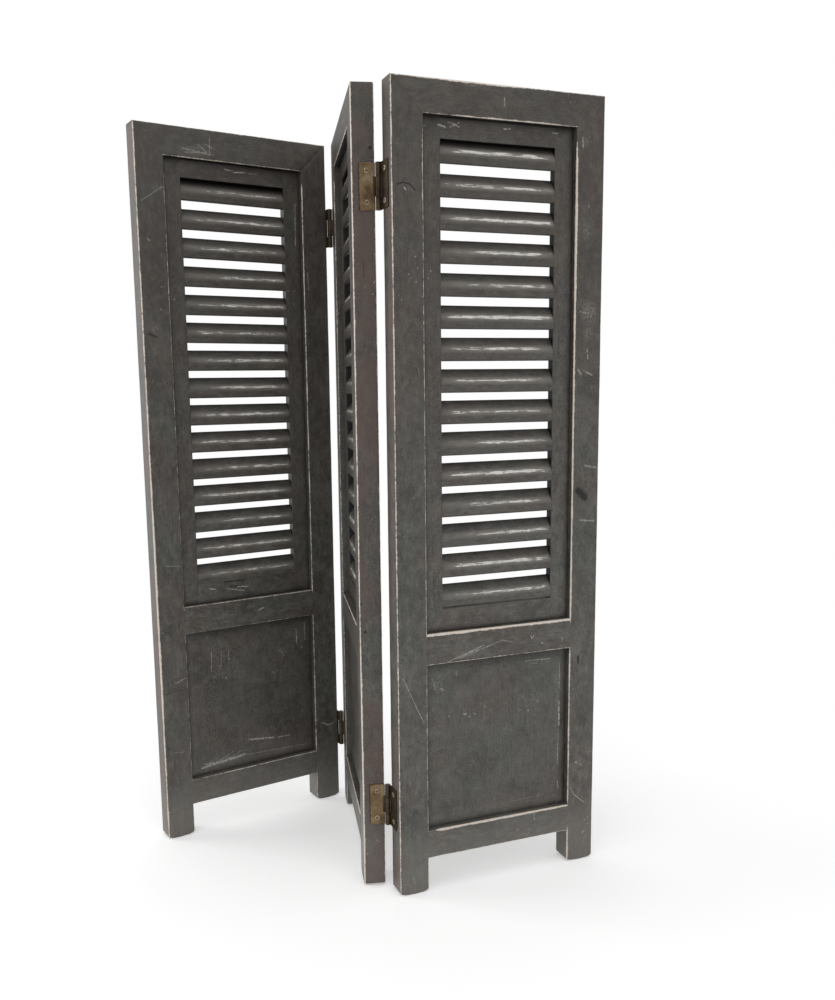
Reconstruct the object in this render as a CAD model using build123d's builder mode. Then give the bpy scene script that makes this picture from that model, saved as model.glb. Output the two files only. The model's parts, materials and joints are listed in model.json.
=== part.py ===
import math
import os

from build123d import *

os.makedirs("parts", exist_ok=True)

# Free-standing folding screen: three louvred panels joined edge to edge by two pairs of hinges.
# Lengths are in millimetres and angles in degrees.

# One panel, seen from its front: u runs across, w runs front to back, z runs up
panel_width = 200.0
panel_height = 700.0
panel_depth = 20.0
panel_gap = 5.0
arris_radius = 1.5

# Angles between neighbouring panels as the screen stands
left_fold = 65.5
right_fold = 76.5

# Frame of a panel
stile_width = 28.0
top_rail_bottom = 672.0
mid_rail_bottom = 212.0
mid_rail_top = 240.0
bottom_rail_bottom = 32.0
bottom_rail_top = 58.0
foot_rise = 2.5
foot_round = 9.0
foot_bend_rise = 0.6

# Louvre in the upper opening, set back from both faces
louvre_setback = 6.0
louvre_depth = 8.0
side_strip_width = 18.0
louvre_bottom = 260.5
louvre_top = 655.0
slat_count = 15
slat_pitch = 26.8
slat_start = {"left": 259.1, "middle": 260.8, "right": 260.8}
slat_nose_height = 10.6
slat_rise = 10.4
slat_nose_radius = 8.0
slat_lip_radius = 2.0

# Lower board, raised in the middle on both faces
board_setback = 6.0
board_depth = 8.0
board_raise = 1.5
board_margin = 7.5

# Hinges
hinge_heights = {"lower": 79.5, "upper": 618.0}
leaf_height = 38.0
leaf_reach = 13.8
leaf_thickness = 1.0
pin_offset = panel_gap / 2
barrel_radius = 2.5
pin_radius = 1.1
pin_clearance = 0.05
inner_knuckle_height = 16.0
knuckle_space = 0.2

# Hinge screws
screw_spacing = 25.5
screw_from_corner = 7.2
head_radius = 2.5
neck_radius = 1.5
shank_radius = 1.2
shank_length = 8.0
recess_length = 3.0
recess_width = 0.6
recess_depth = 0.6


def turned_plane(pin, pin_local, heading):
    """Give the plane of a panel whose pin point sits at a known place."""
    across = Vector(math.cos(math.radians(heading)), math.sin(math.radians(heading)), 0)
    backward = Vector(-across.Y, across.X, 0)
    corner = pin - across * pin_local[0] - backward * pin_local[1]
    return Plane(origin=corner, x_dir=across, z_dir=(0, 0, 1))


def panel_planes(shift):
    """Give the planes of the three panels, moved together by the shift."""
    right = Plane(origin=shift, x_dir=(1, 0, 0), z_dir=(0, 0, 1))
    right_pin = right.from_local_coords(Vector(-pin_offset, panel_depth + pin_offset, 0))
    middle_heading = right_fold - 180.0
    middle_pin = (panel_width + pin_offset, panel_depth + pin_offset)
    middle = turned_plane(right_pin, middle_pin, middle_heading)
    left_pin = middle.from_local_coords(Vector(-pin_offset, -pin_offset, 0))
    left_heading = middle_heading + 180.0 - left_fold
    left = turned_plane(left_pin, (panel_width + pin_offset, -pin_offset), left_heading)
    return {"left": left, "middle": middle, "right": right}


def footprint_middle(planes):
    """Give the middle of the rectangle that holds the three rounded footprints."""
    xs = []
    ys = []
    for plane in planes.values():
        for u in (arris_radius, panel_width - arris_radius):
            for w in (arris_radius, panel_depth - arris_radius):
                point = plane.from_local_coords(Vector(u, w, 0))
                xs.append(point.X)
                ys.append(point.Y)
    return Vector((min(xs) + max(xs)) / 2, (min(ys) + max(ys)) / 2, 0)


planes = panel_planes(Vector(0, 0, 0) - footprint_middle(panel_planes(Vector(0, 0, 0))))


def face_plane(panel, depth):
    """Plane parallel to the front face: x runs across the panel, y runs up, it faces forward."""
    origin = panel.from_local_coords(Vector(0, depth, 0))
    return Plane(origin=origin, x_dir=panel.x_dir, z_dir=panel.y_dir * -1)


def edge_plane(panel, across, outward):
    """Plane parallel to the long edges: it faces outward and y runs up."""
    origin = panel.from_local_coords(Vector(across, 0, 0))
    return Plane(origin=origin, x_dir=panel.y_dir * outward, z_dir=panel.x_dir * outward)


def save(piece, name):
    """Name the piece and write it out."""
    piece.part.label = name
    export_step(piece.part, f"parts/{name}.step")


def side_edges(piece, panel):
    """Give the long outer edges that run across the panel."""
    return piece.edges().filter_by(lambda e: abs(e.tangent_at(0.5).dot(panel.x_dir)) > 0.999)


def make_stile(panel, name, at_right, leaves):
    """Upright with a mitred top, a rounded foot and pilot holes for its hinge screws."""
    def across(u):
        return panel_width - u if at_right else u

    with BuildPart() as piece:
        with BuildSketch(face_plane(panel, 0)):
            with BuildLine():
                ThreePointArc(
                    (across(0), foot_rise),
                    (across(foot_round / 2), foot_bend_rise),
                    (across(foot_round), 0),
                )
                Line((across(foot_round), 0), (across(stile_width - foot_round), 0))
                ThreePointArc(
                    (across(stile_width - foot_round), 0),
                    (across(stile_width - foot_round / 2), foot_bend_rise),
                    (across(stile_width), foot_rise),
                )
                Line((across(stile_width), foot_rise), (across(stile_width), top_rail_bottom))
                Line((across(stile_width), top_rail_bottom), (across(0), panel_height))
                Line((across(0), panel_height), (across(0), foot_rise))
            make_face()
        extrude(amount=-panel_depth)
        # The two outer edges reach the top, so their middles stand highest
        fillet(piece.edges().filter_by(Axis.Z).group_by(Axis.Z)[-1], radius=arris_radius)
        outward = 1 if at_right else -1
        for height, pin_at_back in leaves:
            with BuildSketch(edge_plane(panel, across(0), outward)):
                with Locations(*screw_points(height, pin_at_back, outward)):
                    Circle(shank_radius)
            extrude(amount=-shank_length, mode=Mode.SUBTRACT)
    save(piece, name)


def screw_points(height, pin_at_back, outward):
    """Give the two screw centres of a leaf in the coordinates of its edge plane."""
    depth = panel_depth - screw_from_corner if pin_at_back else screw_from_corner
    return [(depth * outward, height + side * screw_spacing / 2) for side in (-1, 1)]


def make_top_rail(panel, name):
    """Top rail, mitred at both ends."""
    with BuildPart() as piece:
        with BuildSketch(face_plane(panel, 0)):
            with BuildLine():
                Polyline(
                    (0, panel_height),
                    (stile_width, top_rail_bottom),
                    (panel_width - stile_width, top_rail_bottom),
                    (panel_width, panel_height),
                    close=True,
                )
            make_face()
        extrude(amount=-panel_depth)
        fillet(side_edges(piece, panel).group_by(Axis.Z)[-1], radius=arris_radius)
    save(piece, name)


def make_rail(panel, name, low, high):
    """Straight rail between the stiles."""
    with BuildPart() as piece:
        with BuildSketch(face_plane(panel, 0)):
            with Locations((panel_width / 2, (low + high) / 2)):
                Rectangle(panel_width - 2 * stile_width, high - low)
        extrude(amount=-panel_depth)
    save(piece, name)


def make_board(panel, name):
    """Lower board with a bevelled margin round a raised field on both faces."""
    width = panel_width - 2 * stile_width
    height = mid_rail_bottom - bottom_rail_top
    middle = (panel_width / 2, (mid_rail_bottom + bottom_rail_top) / 2)
    with BuildPart() as piece:
        with BuildSketch(face_plane(panel, board_setback)):
            with Locations(middle):
                Rectangle(width, height)
        extrude(amount=-board_depth)
        for depth, out in ((board_setback, -1), (board_setback + board_depth, 1)):
            with BuildSketch(face_plane(panel, depth)):
                with Locations(middle):
                    Rectangle(width, height)
            with BuildSketch(face_plane(panel, depth + out * board_raise)):
                with Locations(middle):
                    Rectangle(width - 2 * board_margin, height - 2 * board_margin)
            loft()
    save(piece, name)


def make_side_strips(panel, name):
    """Upright strips that carry the ends of the slats."""
    middle = stile_width + side_strip_width / 2
    with BuildPart() as piece:
        with BuildSketch(face_plane(panel, louvre_setback)):
            with Locations(
                (middle, (mid_rail_top + top_rail_bottom) / 2),
                (panel_width - middle, (mid_rail_top + top_rail_bottom) / 2),
            ):
                Rectangle(side_strip_width, top_rail_bottom - mid_rail_top)
        extrude(amount=-louvre_depth)
    save(piece, name)


def make_end_strips(panel, name):
    """Level strips that close the louvre above and below."""
    width = panel_width - 2 * (stile_width + side_strip_width)
    with BuildPart() as piece:
        for low, high in ((mid_rail_top, louvre_bottom), (louvre_top, top_rail_bottom)):
            with BuildSketch(face_plane(panel, louvre_setback)):
                with Locations((panel_width / 2, (low + high) / 2)):
                    Rectangle(width, high - low)
            extrude(amount=-louvre_depth)
    save(piece, name)


def make_slats(panel, name, start_height):
    """Fixed slats with rounded noses, rising to the back and cut off at the end strips."""
    start = stile_width + side_strip_width
    front = louvre_setback
    back = louvre_setback + louvre_depth
    # The sharp corner under the nose lies this far below the rounded lip
    half_lip_angle = math.atan2(louvre_depth, slat_rise) / 2
    lip_drop = slat_lip_radius / math.tan(half_lip_angle) - slat_lip_radius
    with BuildPart() as piece:
        for index in range(slat_count):
            low = start_height + index * slat_pitch
            lip = low - lip_drop
            nose = low + slat_nose_height
            with BuildSketch(edge_plane(panel, start, 1)) as profile:
                with BuildLine():
                    Polyline(
                        (front, lip),
                        (front, nose),
                        (back, nose + slat_rise),
                        (back, lip + slat_rise),
                        close=True,
                    )
                make_face()
                fillet(profile_corner(profile, front, nose), radius=slat_nose_radius)
                fillet(profile_corner(profile, front, lip), radius=slat_lip_radius)
                with Locations(((front + back) / 2, (louvre_bottom + louvre_top) / 2)):
                    Rectangle(louvre_depth, louvre_top - louvre_bottom, mode=Mode.INTERSECT)
            extrude(amount=panel_width - 2 * start)
    save(piece, name)


def profile_corner(profile, across, up):
    """Pick the corner of a profile nearest to a point of its own plane."""
    return profile.vertices().sort_by(lambda v: abs(v.X - across) + abs(v.Y - up))[0]


def make_leaf(panel, name, at_right, pin_at_back, height, knuckles):
    """Hinge leaf: a plate screwed to the edge with knuckles rolled round the pin."""
    outward = 1 if at_right else -1
    edge = panel_width if at_right else 0.0
    toward_pin = 1 if pin_at_back else -1
    corner = panel_depth if pin_at_back else 0.0
    plate_start = corner - toward_pin * leaf_reach
    plate_end = corner
    pin_depth = corner + toward_pin * pin_offset
    pin_across = edge + outward * pin_offset
    with BuildPart() as piece:
        with BuildSketch(edge_plane(panel, edge, outward)):
            with Locations((outward * (plate_start + plate_end) / 2, height)):
                Rectangle(abs(plate_end - plate_start), leaf_height)
            for low, high in knuckles:
                with Locations((outward * (plate_end + pin_depth) / 2, height + (low + high) / 2)):
                    Rectangle(abs(pin_depth - plate_end), high - low)
        extrude(amount=leaf_thickness)
        for low, high in knuckles:
            with BuildSketch(panel.offset(height + low)):
                with Locations((pin_across, pin_depth)):
                    Circle(barrel_radius)
            extrude(amount=high - low)
        with BuildSketch(panel.offset(height - leaf_height / 2)):
            with Locations((pin_across, pin_depth)):
                Circle(pin_radius + pin_clearance)
        extrude(amount=leaf_height, mode=Mode.SUBTRACT)
        for point in screw_points(height, pin_at_back, outward):
            with BuildSketch(edge_plane(panel, edge, outward)):
                with Locations(point):
                    Circle(neck_radius)
            with BuildSketch(edge_plane(panel, edge + outward * leaf_thickness, outward)):
                with Locations(point):
                    Circle(head_radius)
            loft(mode=Mode.SUBTRACT)
    save(piece, name)


def make_pins(panel, name, at_right, pin_at_back):
    """The two pins of one hinge line."""
    outward = 1 if at_right else -1
    edge = panel_width if at_right else 0.0
    corner = panel_depth + pin_offset if pin_at_back else -pin_offset
    with BuildPart() as piece:
        for height in hinge_heights.values():
            with BuildSketch(panel.offset(height - leaf_height / 2)):
                with Locations((edge + outward * pin_offset, corner)):
                    Circle(pin_radius)
            extrude(amount=leaf_height)
    save(piece, name)


def make_screws(panel, name, leaves):
    """Countersunk screws with a cross recess, through the leaves into the stiles."""
    with BuildPart() as piece:
        for at_right, pin_at_back, height in leaves:
            outward = 1 if at_right else -1
            edge = panel_width if at_right else 0.0
            for point in screw_points(height, pin_at_back, outward):
                with BuildSketch(edge_plane(panel, edge, outward)):
                    with Locations(point):
                        Circle(neck_radius)
                with BuildSketch(edge_plane(panel, edge + outward * leaf_thickness, outward)):
                    with Locations(point):
                        Circle(head_radius)
                loft()
                with BuildSketch(edge_plane(panel, edge, outward)):
                    with Locations(point):
                        Circle(shank_radius)
                extrude(amount=-shank_length)
                with BuildSketch(edge_plane(panel, edge + outward * leaf_thickness, outward)):
                    with Locations(point):
                        Rectangle(recess_length, recess_width)
                        Rectangle(recess_width, recess_length)
                extrude(amount=-recess_depth, mode=Mode.SUBTRACT)
    save(piece, name)


# Which edges carry hinges, and whether the pin stands behind or in front of the panel
hinge_sides = {
    "left": [(True, False)],
    "middle": [(False, False), (True, True)],
    "right": [(False, True)],
}
half_leaf = leaf_height / 2
half_knuckle = inner_knuckle_height / 2
inner_knuckles = [(-half_knuckle, half_knuckle)]
outer_knuckles = [
    (-half_leaf, -half_knuckle - knuckle_space),
    (half_knuckle + knuckle_space, half_leaf),
]

for side, panel in planes.items():
    for at_right in (False, True):
        leaves = []
        for hinged_right, pin_at_back in hinge_sides[side]:
            if hinged_right == at_right:
                leaves.extend((height, pin_at_back) for height in hinge_heights.values())
        end = "right" if at_right else "left"
        make_stile(panel, f"{side}_panel_{end}_stile", at_right, leaves)
    make_top_rail(panel, f"{side}_panel_top_rail")
    make_rail(panel, f"{side}_panel_mid_rail", mid_rail_bottom, mid_rail_top)
    make_rail(panel, f"{side}_panel_bottom_rail", bottom_rail_bottom, bottom_rail_top)
    make_board(panel, f"{side}_panel_lower_board")
    make_side_strips(panel, f"{side}_panel_louvre_side_strips")
    make_end_strips(panel, f"{side}_panel_louvre_end_strips")
    make_slats(panel, f"{side}_panel_slats", slat_start[side])
    screw_leaves = []
    for hinged_right, pin_at_back in hinge_sides[side]:
        for height in hinge_heights.values():
            screw_leaves.append((hinged_right, pin_at_back, height))
    make_screws(panel, f"{side}_panel_hinge_screws", screw_leaves)

for level, height in hinge_heights.items():
    make_leaf(planes["left"], f"left_hinge_{level}_outer_leaf", True, False, height, outer_knuckles)
    make_leaf(planes["middle"], f"left_hinge_{level}_inner_leaf", False, False, height, inner_knuckles)
    make_leaf(planes["middle"], f"right_hinge_{level}_inner_leaf", True, True, height, inner_knuckles)
    make_leaf(planes["right"], f"right_hinge_{level}_outer_leaf", False, True, height, outer_knuckles)

make_pins(planes["middle"], "left_hinge_pins", False, False)
make_pins(planes["middle"], "right_hinge_pins", True, True)
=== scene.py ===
import json
import math

import bpy
import numpy as np
from mathutils import Matrix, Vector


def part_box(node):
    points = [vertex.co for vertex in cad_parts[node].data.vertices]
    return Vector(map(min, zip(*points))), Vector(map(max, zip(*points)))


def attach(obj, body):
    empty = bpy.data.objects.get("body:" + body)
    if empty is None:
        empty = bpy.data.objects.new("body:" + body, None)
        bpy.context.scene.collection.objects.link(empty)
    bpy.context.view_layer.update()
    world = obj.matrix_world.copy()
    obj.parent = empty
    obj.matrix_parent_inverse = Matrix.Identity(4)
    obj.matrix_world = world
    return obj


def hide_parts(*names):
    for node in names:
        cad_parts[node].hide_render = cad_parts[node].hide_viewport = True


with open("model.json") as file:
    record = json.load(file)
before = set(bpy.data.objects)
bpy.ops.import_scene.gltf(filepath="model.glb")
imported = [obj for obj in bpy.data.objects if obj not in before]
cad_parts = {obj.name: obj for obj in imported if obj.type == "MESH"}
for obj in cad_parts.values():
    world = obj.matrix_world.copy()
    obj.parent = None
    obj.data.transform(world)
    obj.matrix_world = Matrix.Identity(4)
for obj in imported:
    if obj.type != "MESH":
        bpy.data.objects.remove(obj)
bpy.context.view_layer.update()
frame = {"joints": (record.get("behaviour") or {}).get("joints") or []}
print("solids loaded")


# Where the three panels stand, read from the hinges

def nodeBox(node):
    low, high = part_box(node)
    return np.array(low), np.array(high)


uprightLow, uprightHigh = nodeBox("right_panel_left_stile")
farUprightLow, farUprightHigh = nodeBox("right_panel_right_stile")
corner = uprightLow

panelSize = {
    "width": farUprightHigh[0] - uprightLow[0],
    "height": uprightHigh[2],
    "depth": uprightHigh[1] - uprightLow[1],
    "stile": uprightHigh[0] - uprightLow[0],
}


def panelRange(node, axis):
    # low and high limits of a right-panel node along one axis, from the panel's own corner
    low, high = nodeBox(node)
    return low[axis] - corner[axis] * (axis < 2), high[axis] - corner[axis] * (axis < 2)


joints = {joint["name"]: joint for joint in frame["joints"]}
pinOffset = -(joints["right_hinge"]["pos_m"][0] - corner[0])
foldRight = -joints["right_hinge"]["range_deg"][0]
foldLeft = -joints["left_hinge"]["range_deg"][0]


def panelPlace(pin, localPin, heading):
    # corner of a panel whose local pin point sits on the given pin, turned to the heading
    c, s = math.cos(heading), math.sin(heading)
    x = pin[0] - c * localPin[0] + s * localPin[1]
    y = pin[1] - s * localPin[0] - c * localPin[1]
    return {"corner": (x, y), "heading": heading}


middleHeading = math.radians(foldRight - 180.0)
leftHeading = middleHeading + math.radians(180.0 - foldLeft)
pinBehind = (panelSize["width"] + pinOffset, panelSize["depth"] + pinOffset)
pinInFront = (panelSize["width"] + pinOffset, -pinOffset)
places = {
    "right": {"corner": (corner[0], corner[1]), "heading": 0.0},
    "middle": panelPlace(joints["right_hinge"]["pos_m"], pinBehind, middleHeading),
    "left": panelPlace(joints["left_hinge"]["pos_m"], pinInFront, leftHeading),
}


def toRow(points, side):
    # panel coordinates across, depth, up turned by the panel's heading and moved to its corner
    place = places[side]
    c, s = math.cos(place["heading"]), math.sin(place["heading"])
    moved = np.empty_like(points)
    moved[..., 0] = place["corner"][0] + c * points[..., 0] - s * points[..., 1]
    moved[..., 1] = place["corner"][1] + s * points[..., 0] + c * points[..., 1]
    moved[..., 2] = points[..., 2]
    return moved


# Surfaces

def skinFaces(rings, around):
    # quads between neighbouring rings, closed round the loop, and one fan of triangles at each end pole
    ring = np.arange(rings - 1)[:, None] * around
    step = np.arange(around)[None, :]
    ahead = (step + 1) % around
    quads = np.stack([ring + step, ring + ahead, ring + around + ahead, ring + around + step], -1)
    first = rings * around
    spin = np.arange(around)
    low = np.stack([np.full(around, first), (spin + 1) % around, spin], -1)
    last = (rings - 1) * around
    high = np.stack([np.full(around, first + 1), last + spin, last + (spin + 1) % around], -1)
    return quads.reshape(-1, 4), np.concatenate([low, high])


def signedVolume(points, quads, triangles):
    # sum of the tetrahedra between the origin and every triangle
    allTriangles = np.concatenate([triangles, quads[:, [0, 1, 2]], quads[:, [0, 2, 3]]])
    a, b, c = (points[allTriangles[:, k]] - points.mean(0) for k in range(3))
    return float((a * np.cross(b, c)).sum())


def makeMesh(name, points, quads, triangles, fields, sharpDegrees=40.0):
    if signedVolume(points, quads, triangles) < 0:
        quads = quads[:, ::-1]
        triangles = triangles[:, ::-1]
    mesh = bpy.data.meshes.new(name)
    mesh.vertices.add(len(points))
    mesh.vertices.foreach_set("co", points.astype(np.float32).ravel())
    corners = np.concatenate([quads.ravel(), triangles.ravel()])
    starts = np.concatenate([np.arange(len(quads)) * 4, len(quads) * 4 + np.arange(len(triangles)) * 3])
    mesh.loops.add(len(corners))
    mesh.loops.foreach_set("vertex_index", corners.astype(np.int32))
    mesh.polygons.add(len(starts))
    mesh.polygons.foreach_set("loop_start", starts.astype(np.int32))
    mesh.update(calc_edges=True)
    mesh.polygons.foreach_set("use_smooth", np.ones(len(starts), bool))
    for field, values in fields.items():
        kind, key = ("FLOAT_VECTOR", "vector") if values.ndim == 2 else ("FLOAT", "value")
        attribute = mesh.attributes.new(field, kind, "POINT")
        attribute.data.foreach_set(key, values.astype(np.float32).ravel())
    mesh.set_sharp_from_angle(angle=math.radians(sharpDegrees))
    mesh.validate()
    return mesh


def closedSkin(rings, fields):
    # rings of points closed at both ends by a pole in the middle of the end ring
    count, around = rings.shape[:2]
    quads, triangles = skinFaces(count, around)
    points = np.concatenate([rings.reshape(-1, 3), rings[:1].mean(1), rings[-1:].mean(1)])
    spread = {}
    for field, values in fields.items():
        flat = values.reshape((count * around,) + values.shape[2:])
        spread[field] = np.concatenate([flat, values[:1].mean(1), values[-1:].mean(1)])
    return points, quads, triangles, spread


def joinSkins(skins):
    # several closed skins as one list of points, faces and fields
    points, quads, triangles, fields = [], [], [], {}
    offset = 0
    for skin in skins:
        points.append(skin[0])
        quads.append(skin[1] + offset)
        triangles.append(skin[2] + offset)
        for field, values in skin[3].items():
            fields.setdefault(field, []).append(values)
        offset += len(skin[0])
    joined = {field: np.concatenate(values) for field, values in fields.items()}
    return np.concatenate(points), np.concatenate(quads), np.concatenate(triangles), joined


def orientSkin(skin):
    # faces turned outwards on a single closed skin
    points, quads, triangles, fields = skin
    if signedVolume(points, quads, triangles) < 0:
        return points, quads[:, ::-1], triangles[:, ::-1], fields
    return skin


def addPiece(name, skins, material, body, nodes, sharpDegrees=40.0):
    points, quads, triangles, fields = joinSkins([orientSkin(skin) for skin in skins])
    piece = bpy.data.objects.new(name, makeMesh(name, points, quads, triangles, fields, sharpDegrees))
    bpy.context.scene.collection.objects.link(piece)
    piece.data.materials.append(material)
    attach(piece, body)
    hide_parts(*nodes)
    return piece


# Boards

boardLook = {
    "arcSteps": 4,
    "nearArris": 0.0012,
    "offArris": 0.0040,
    "stationLength": 0.006,
    "waviness": 0.00022,
    "sunk": 0.0004,
    "sharpRadius": 0.00018,
    "endEasing": 0.0002,
    "capSizes": (0.45, 0.9),
    "capFade": 0.02,
}


def loopShape():
    # one turn round a rectangular section: each point is on a corner arc or at a set distance along a side
    points = []
    for cornerIndex in range(4):
        for step in range(boardLook["arcSteps"] + 1):
            points.append((cornerIndex, 0, step / boardLook["arcSteps"]))
        for kind in (1, 2, 3, 4, 5):
            points.append((cornerIndex, kind, 0.0))
    return np.array(points)


loop = loopShape()


def sectionLoop(low, high, radii):
    # rounded rectangle low to high in the two section axes; radii holds one radius per ring and corner
    rings = radii.shape[0]
    around = len(loop)
    section = np.zeros((rings, around, 2))
    reach = np.zeros((rings, around))
    nearest = np.zeros((rings, around), int)
    signs = np.array([(1, 1), (-1, 1), (-1, -1), (1, -1)])
    base = [np.stack([low[:, 0], low[:, 1]], -1), np.stack([high[:, 0], low[:, 1]], -1),
            np.stack([high[:, 0], high[:, 1]], -1), np.stack([low[:, 0], high[:, 1]], -1)]
    centres = [base[k] + signs[k] * radii[:, k:k + 1] for k in range(4)]

    def arcPoint(k, turn):
        angle = math.radians(90.0 * (k - 2) + 90.0 * turn)
        return centres[k] + radii[:, k:k + 1] * np.array([math.cos(angle), math.sin(angle)])

    for index, (k, kind, turn) in enumerate(loop):
        k, kind = int(k), int(kind)
        after = (k + 1) % 4
        if kind == 0:
            section[:, index] = arcPoint(k, turn)
            reach[:, index] = radii[:, k] * abs(turn - 0.5) * math.pi / 2
            nearest[:, index] = k
            continue
        start, end = arcPoint(k, 1.0), arcPoint(after, 0.0)
        length = np.linalg.norm(end - start, axis=1)
        near = np.minimum(boardLook["nearArris"], length * 0.2)
        off = np.minimum(boardLook["offArris"], length * 0.4)
        along = [near, off, length / 2, length - off, length - near][kind - 1]
        fraction = (along / np.maximum(length, 1e-9))[:, None]
        section[:, index] = start + (end - start) * fraction
        fromStart = kind <= 3
        reach[:, index] = np.where(fromStart, along + radii[:, k] * math.pi / 4,
                                   length - along + radii[:, after] * math.pi / 4)
        nearest[:, index] = k if fromStart else after
    return section, reach, nearest


def gentleWave(positions, seed, amount):
    # sum of four slow sines with seeded phases, from 0 to amount
    chance = np.random.default_rng(seed)
    wave = np.zeros_like(positions)
    for turns in (7.0, 17.0, 43.0, 90.0):
        wave = wave + np.sin(positions * turns * chance.uniform(0.8, 1.25) + chance.uniform(0, 6.28))
    return amount * (0.5 + wave / 8.0)


def boardSkin(side, order, across, depth, startCut, endCut, radius, wear, seed,
              endRound=None, stationLength=None, wavy=True, paintedShadeAt=None):
    # a rounded rectangle carried along a line between two cuts; order names the panel axes of
    # across, depth and along; every ring is slightly narrower or wider, as planed by hand
    endRound = endRound or (boardLook["endEasing"], boardLook["endEasing"])
    middle = (across[0] + across[1]) / 2
    startAt = float(startCut(np.array([middle]))[0])
    endAt = float(endCut(np.array([middle]))[0])
    length = endAt - startAt
    body = max(4, int(length / (stationLength or boardLook["stationLength"])))
    t = np.linspace(0.0, 1.0, body)
    quarter = np.radians([0.0, 30.0, 60.0, 90.0])
    pullStart = np.concatenate([[0.0, 0.0], endRound[0] * (1 - np.sin(quarter[::-1]))])
    insetStart = np.concatenate([[endRound[0]] * 2, endRound[0] * (1 - np.cos(quarter[::-1]))])
    caps = boardLook["capSizes"]
    scaleStart = np.array(list(caps) + [1.0] * 4)
    pullEnd = np.concatenate([endRound[1] * (1 - np.sin(quarter)), [0.0, 0.0]])
    insetEnd = np.concatenate([endRound[1] * (1 - np.cos(quarter)), [endRound[1]] * 2])
    scaleEnd = scaleStart[::-1]
    fraction = np.concatenate([np.zeros(6), t[1:-1], np.ones(6)])
    pull = np.concatenate([pullStart, np.full(body - 2, 0.0), pullEnd])
    inset = np.concatenate([insetStart, np.zeros(body - 2), insetEnd])
    scale = np.concatenate([scaleStart, np.ones(body - 2), scaleEnd])
    nominal = startAt + fraction * length
    count = len(fraction)

    waviness = boardLook["waviness"] if wavy else 0.0
    shrink = np.stack([gentleWave(nominal, seed + k, waviness) for k in range(4)], -1)
    low = np.stack([across[0] + shrink[:, 0] + inset, depth[0] + shrink[:, 1] + inset], -1)
    high = np.stack([across[1] - shrink[:, 2] - inset, depth[1] - shrink[:, 3] - inset], -1)
    radii = np.stack([np.maximum(radius(k, nominal) - inset, 0.00004) for k in range(4)], -1)
    section, reach, nearest = sectionLoop(low, high, radii)
    centre = (low + high)[:, None, :] / 2
    section = centre + (section - centre) * scale[:, None, None]

    a, d = section[..., 0], section[..., 1]
    startLine = startCut(a) + pull[:, None] * (fraction[:, None] < 0.5)
    endLine = endCut(a) - pull[:, None] * (fraction[:, None] > 0.5)
    s = startLine + (endLine - startLine) * fraction[:, None]
    local = np.zeros((count, len(loop), 3))
    for value, axis in zip((a, d, s), order):
        local[..., "uwz".index(axis)] = value

    strength = np.zeros((count, len(loop)))
    for k in range(4):
        strength = np.where(nearest == k, wear(k, nominal)[:, None], strength)
    reach = reach + (1.0 - scale[:, None]) * boardLook["capFade"]
    chance = np.random.default_rng(seed + 99)
    shift = chance.uniform(-3.0, 3.0, 3)
    grain = np.stack([a, d, s], -1) + shift
    fields = {"grain": grain, "place": local.copy(), "arris": reach, "rub": strength}
    # painted shade, where the board is given one
    if paintedShadeAt is not None:
        fields["deep"] = paintedShadeAt(local)
    return closedSkin(toRow(local, side), fields)


def constantCut(value):
    return lambda a: np.full_like(a, value)


def steady(value):
    return lambda k, positions: np.full_like(positions, value)


def between(positions, spots):
    # value at each position: a plain number everywhere, or interpolated between spots of place and value
    if isinstance(spots, float):
        return np.full_like(positions, spots)
    return np.interp(positions, [spot[0] for spot in spots], [spot[1] for spot in spots])


def wornAlong(profiles):
    # wear of the four long arrises in turn: low front, high front, high back, low back
    return lambda k, positions: between(positions, profiles[k])


# Measures of the panel parts, from the solids
midRail = panelRange("right_panel_mid_rail", 2)
bottomRail = panelRange("right_panel_bottom_rail", 2)
topRail = panelRange("right_panel_top_rail", 2)
louvreDepth = panelRange("right_panel_louvre_side_strips", 1)
slatSpan = panelRange("right_panel_slats", 0)
stripEdges = panelRange("left_panel_slats", 2)
boardDepth = panelRange("right_panel_lower_board", 1)

stripArris = 0.0003

stileLook = {
    "outerRadius": 0.0013,
    "innerRadius": 0.0008,
    "footRise": 0.0025,
    "footRound": 0.009,
    "footArris": 0.0010,
    "mitreRound": 0.00025,
}

railLook = {
    "easing": 0.0008,
    "stopRadius": 0.0002,
    "stopLength": 0.004,
    "mitreStopLength": 0.01,
}

# painted shade: in the recesses, in the louvre opening and in the frame's corners
paintedShadeLook = {
    "onFace": 0.0007,
    "recessFrom": 0.0010,
    "recessFade": 0.0015,
    "underRail": 0.82,
    "onStile": 0.12,
    "corner": 0.6,
    "cornerReach": 0.0045,
    "openingFade": 0.0009,
    "opening": 0.94,
}


def recessShade(local):
    # painted shade in the openings: heavy under the rails, light on the stiles' inner sides, fading in from
    # the face
    u, w, z = local[..., 0], local[..., 1], local[..., 2]
    stile, width, near = panelSize["stile"], panelSize["width"], paintedShadeLook["onFace"]
    inOpening = ((z > bottomRail[1]) & (z < midRail[0])) | ((z > midRail[1]) & (z < topRail[0]))
    onStile = ((np.abs(u - stile) < near) | (np.abs(u - width + stile) < near)) & inOpening
    underRail = (np.abs(z - topRail[0]) < near) | (np.abs(z - midRail[0]) < near)
    underRail = underRail & (u > stile) & (u < width - stile)
    fromFace = np.minimum(w, panelSize["depth"] - w)
    inward = np.clip((fromFace - paintedShadeLook["recessFrom"]) / paintedShadeLook["recessFade"], 0.0, 1.0)
    return inward * np.where(underRail, paintedShadeLook["underRail"], paintedShadeLook["onStile"] * onStile)


def footCut(edge):
    # sole of a foot: flat in the middle, rising along a parabola towards both sides
    def cut(a):
        fromSide = np.minimum(np.abs(a - edge[0]), np.abs(edge[1] - a))
        curve = np.clip(1.0 - fromSide / stileLook["footRound"], 0.0, 1.0)
        return stileLook["footRise"] * curve ** 2
    return cut


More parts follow.
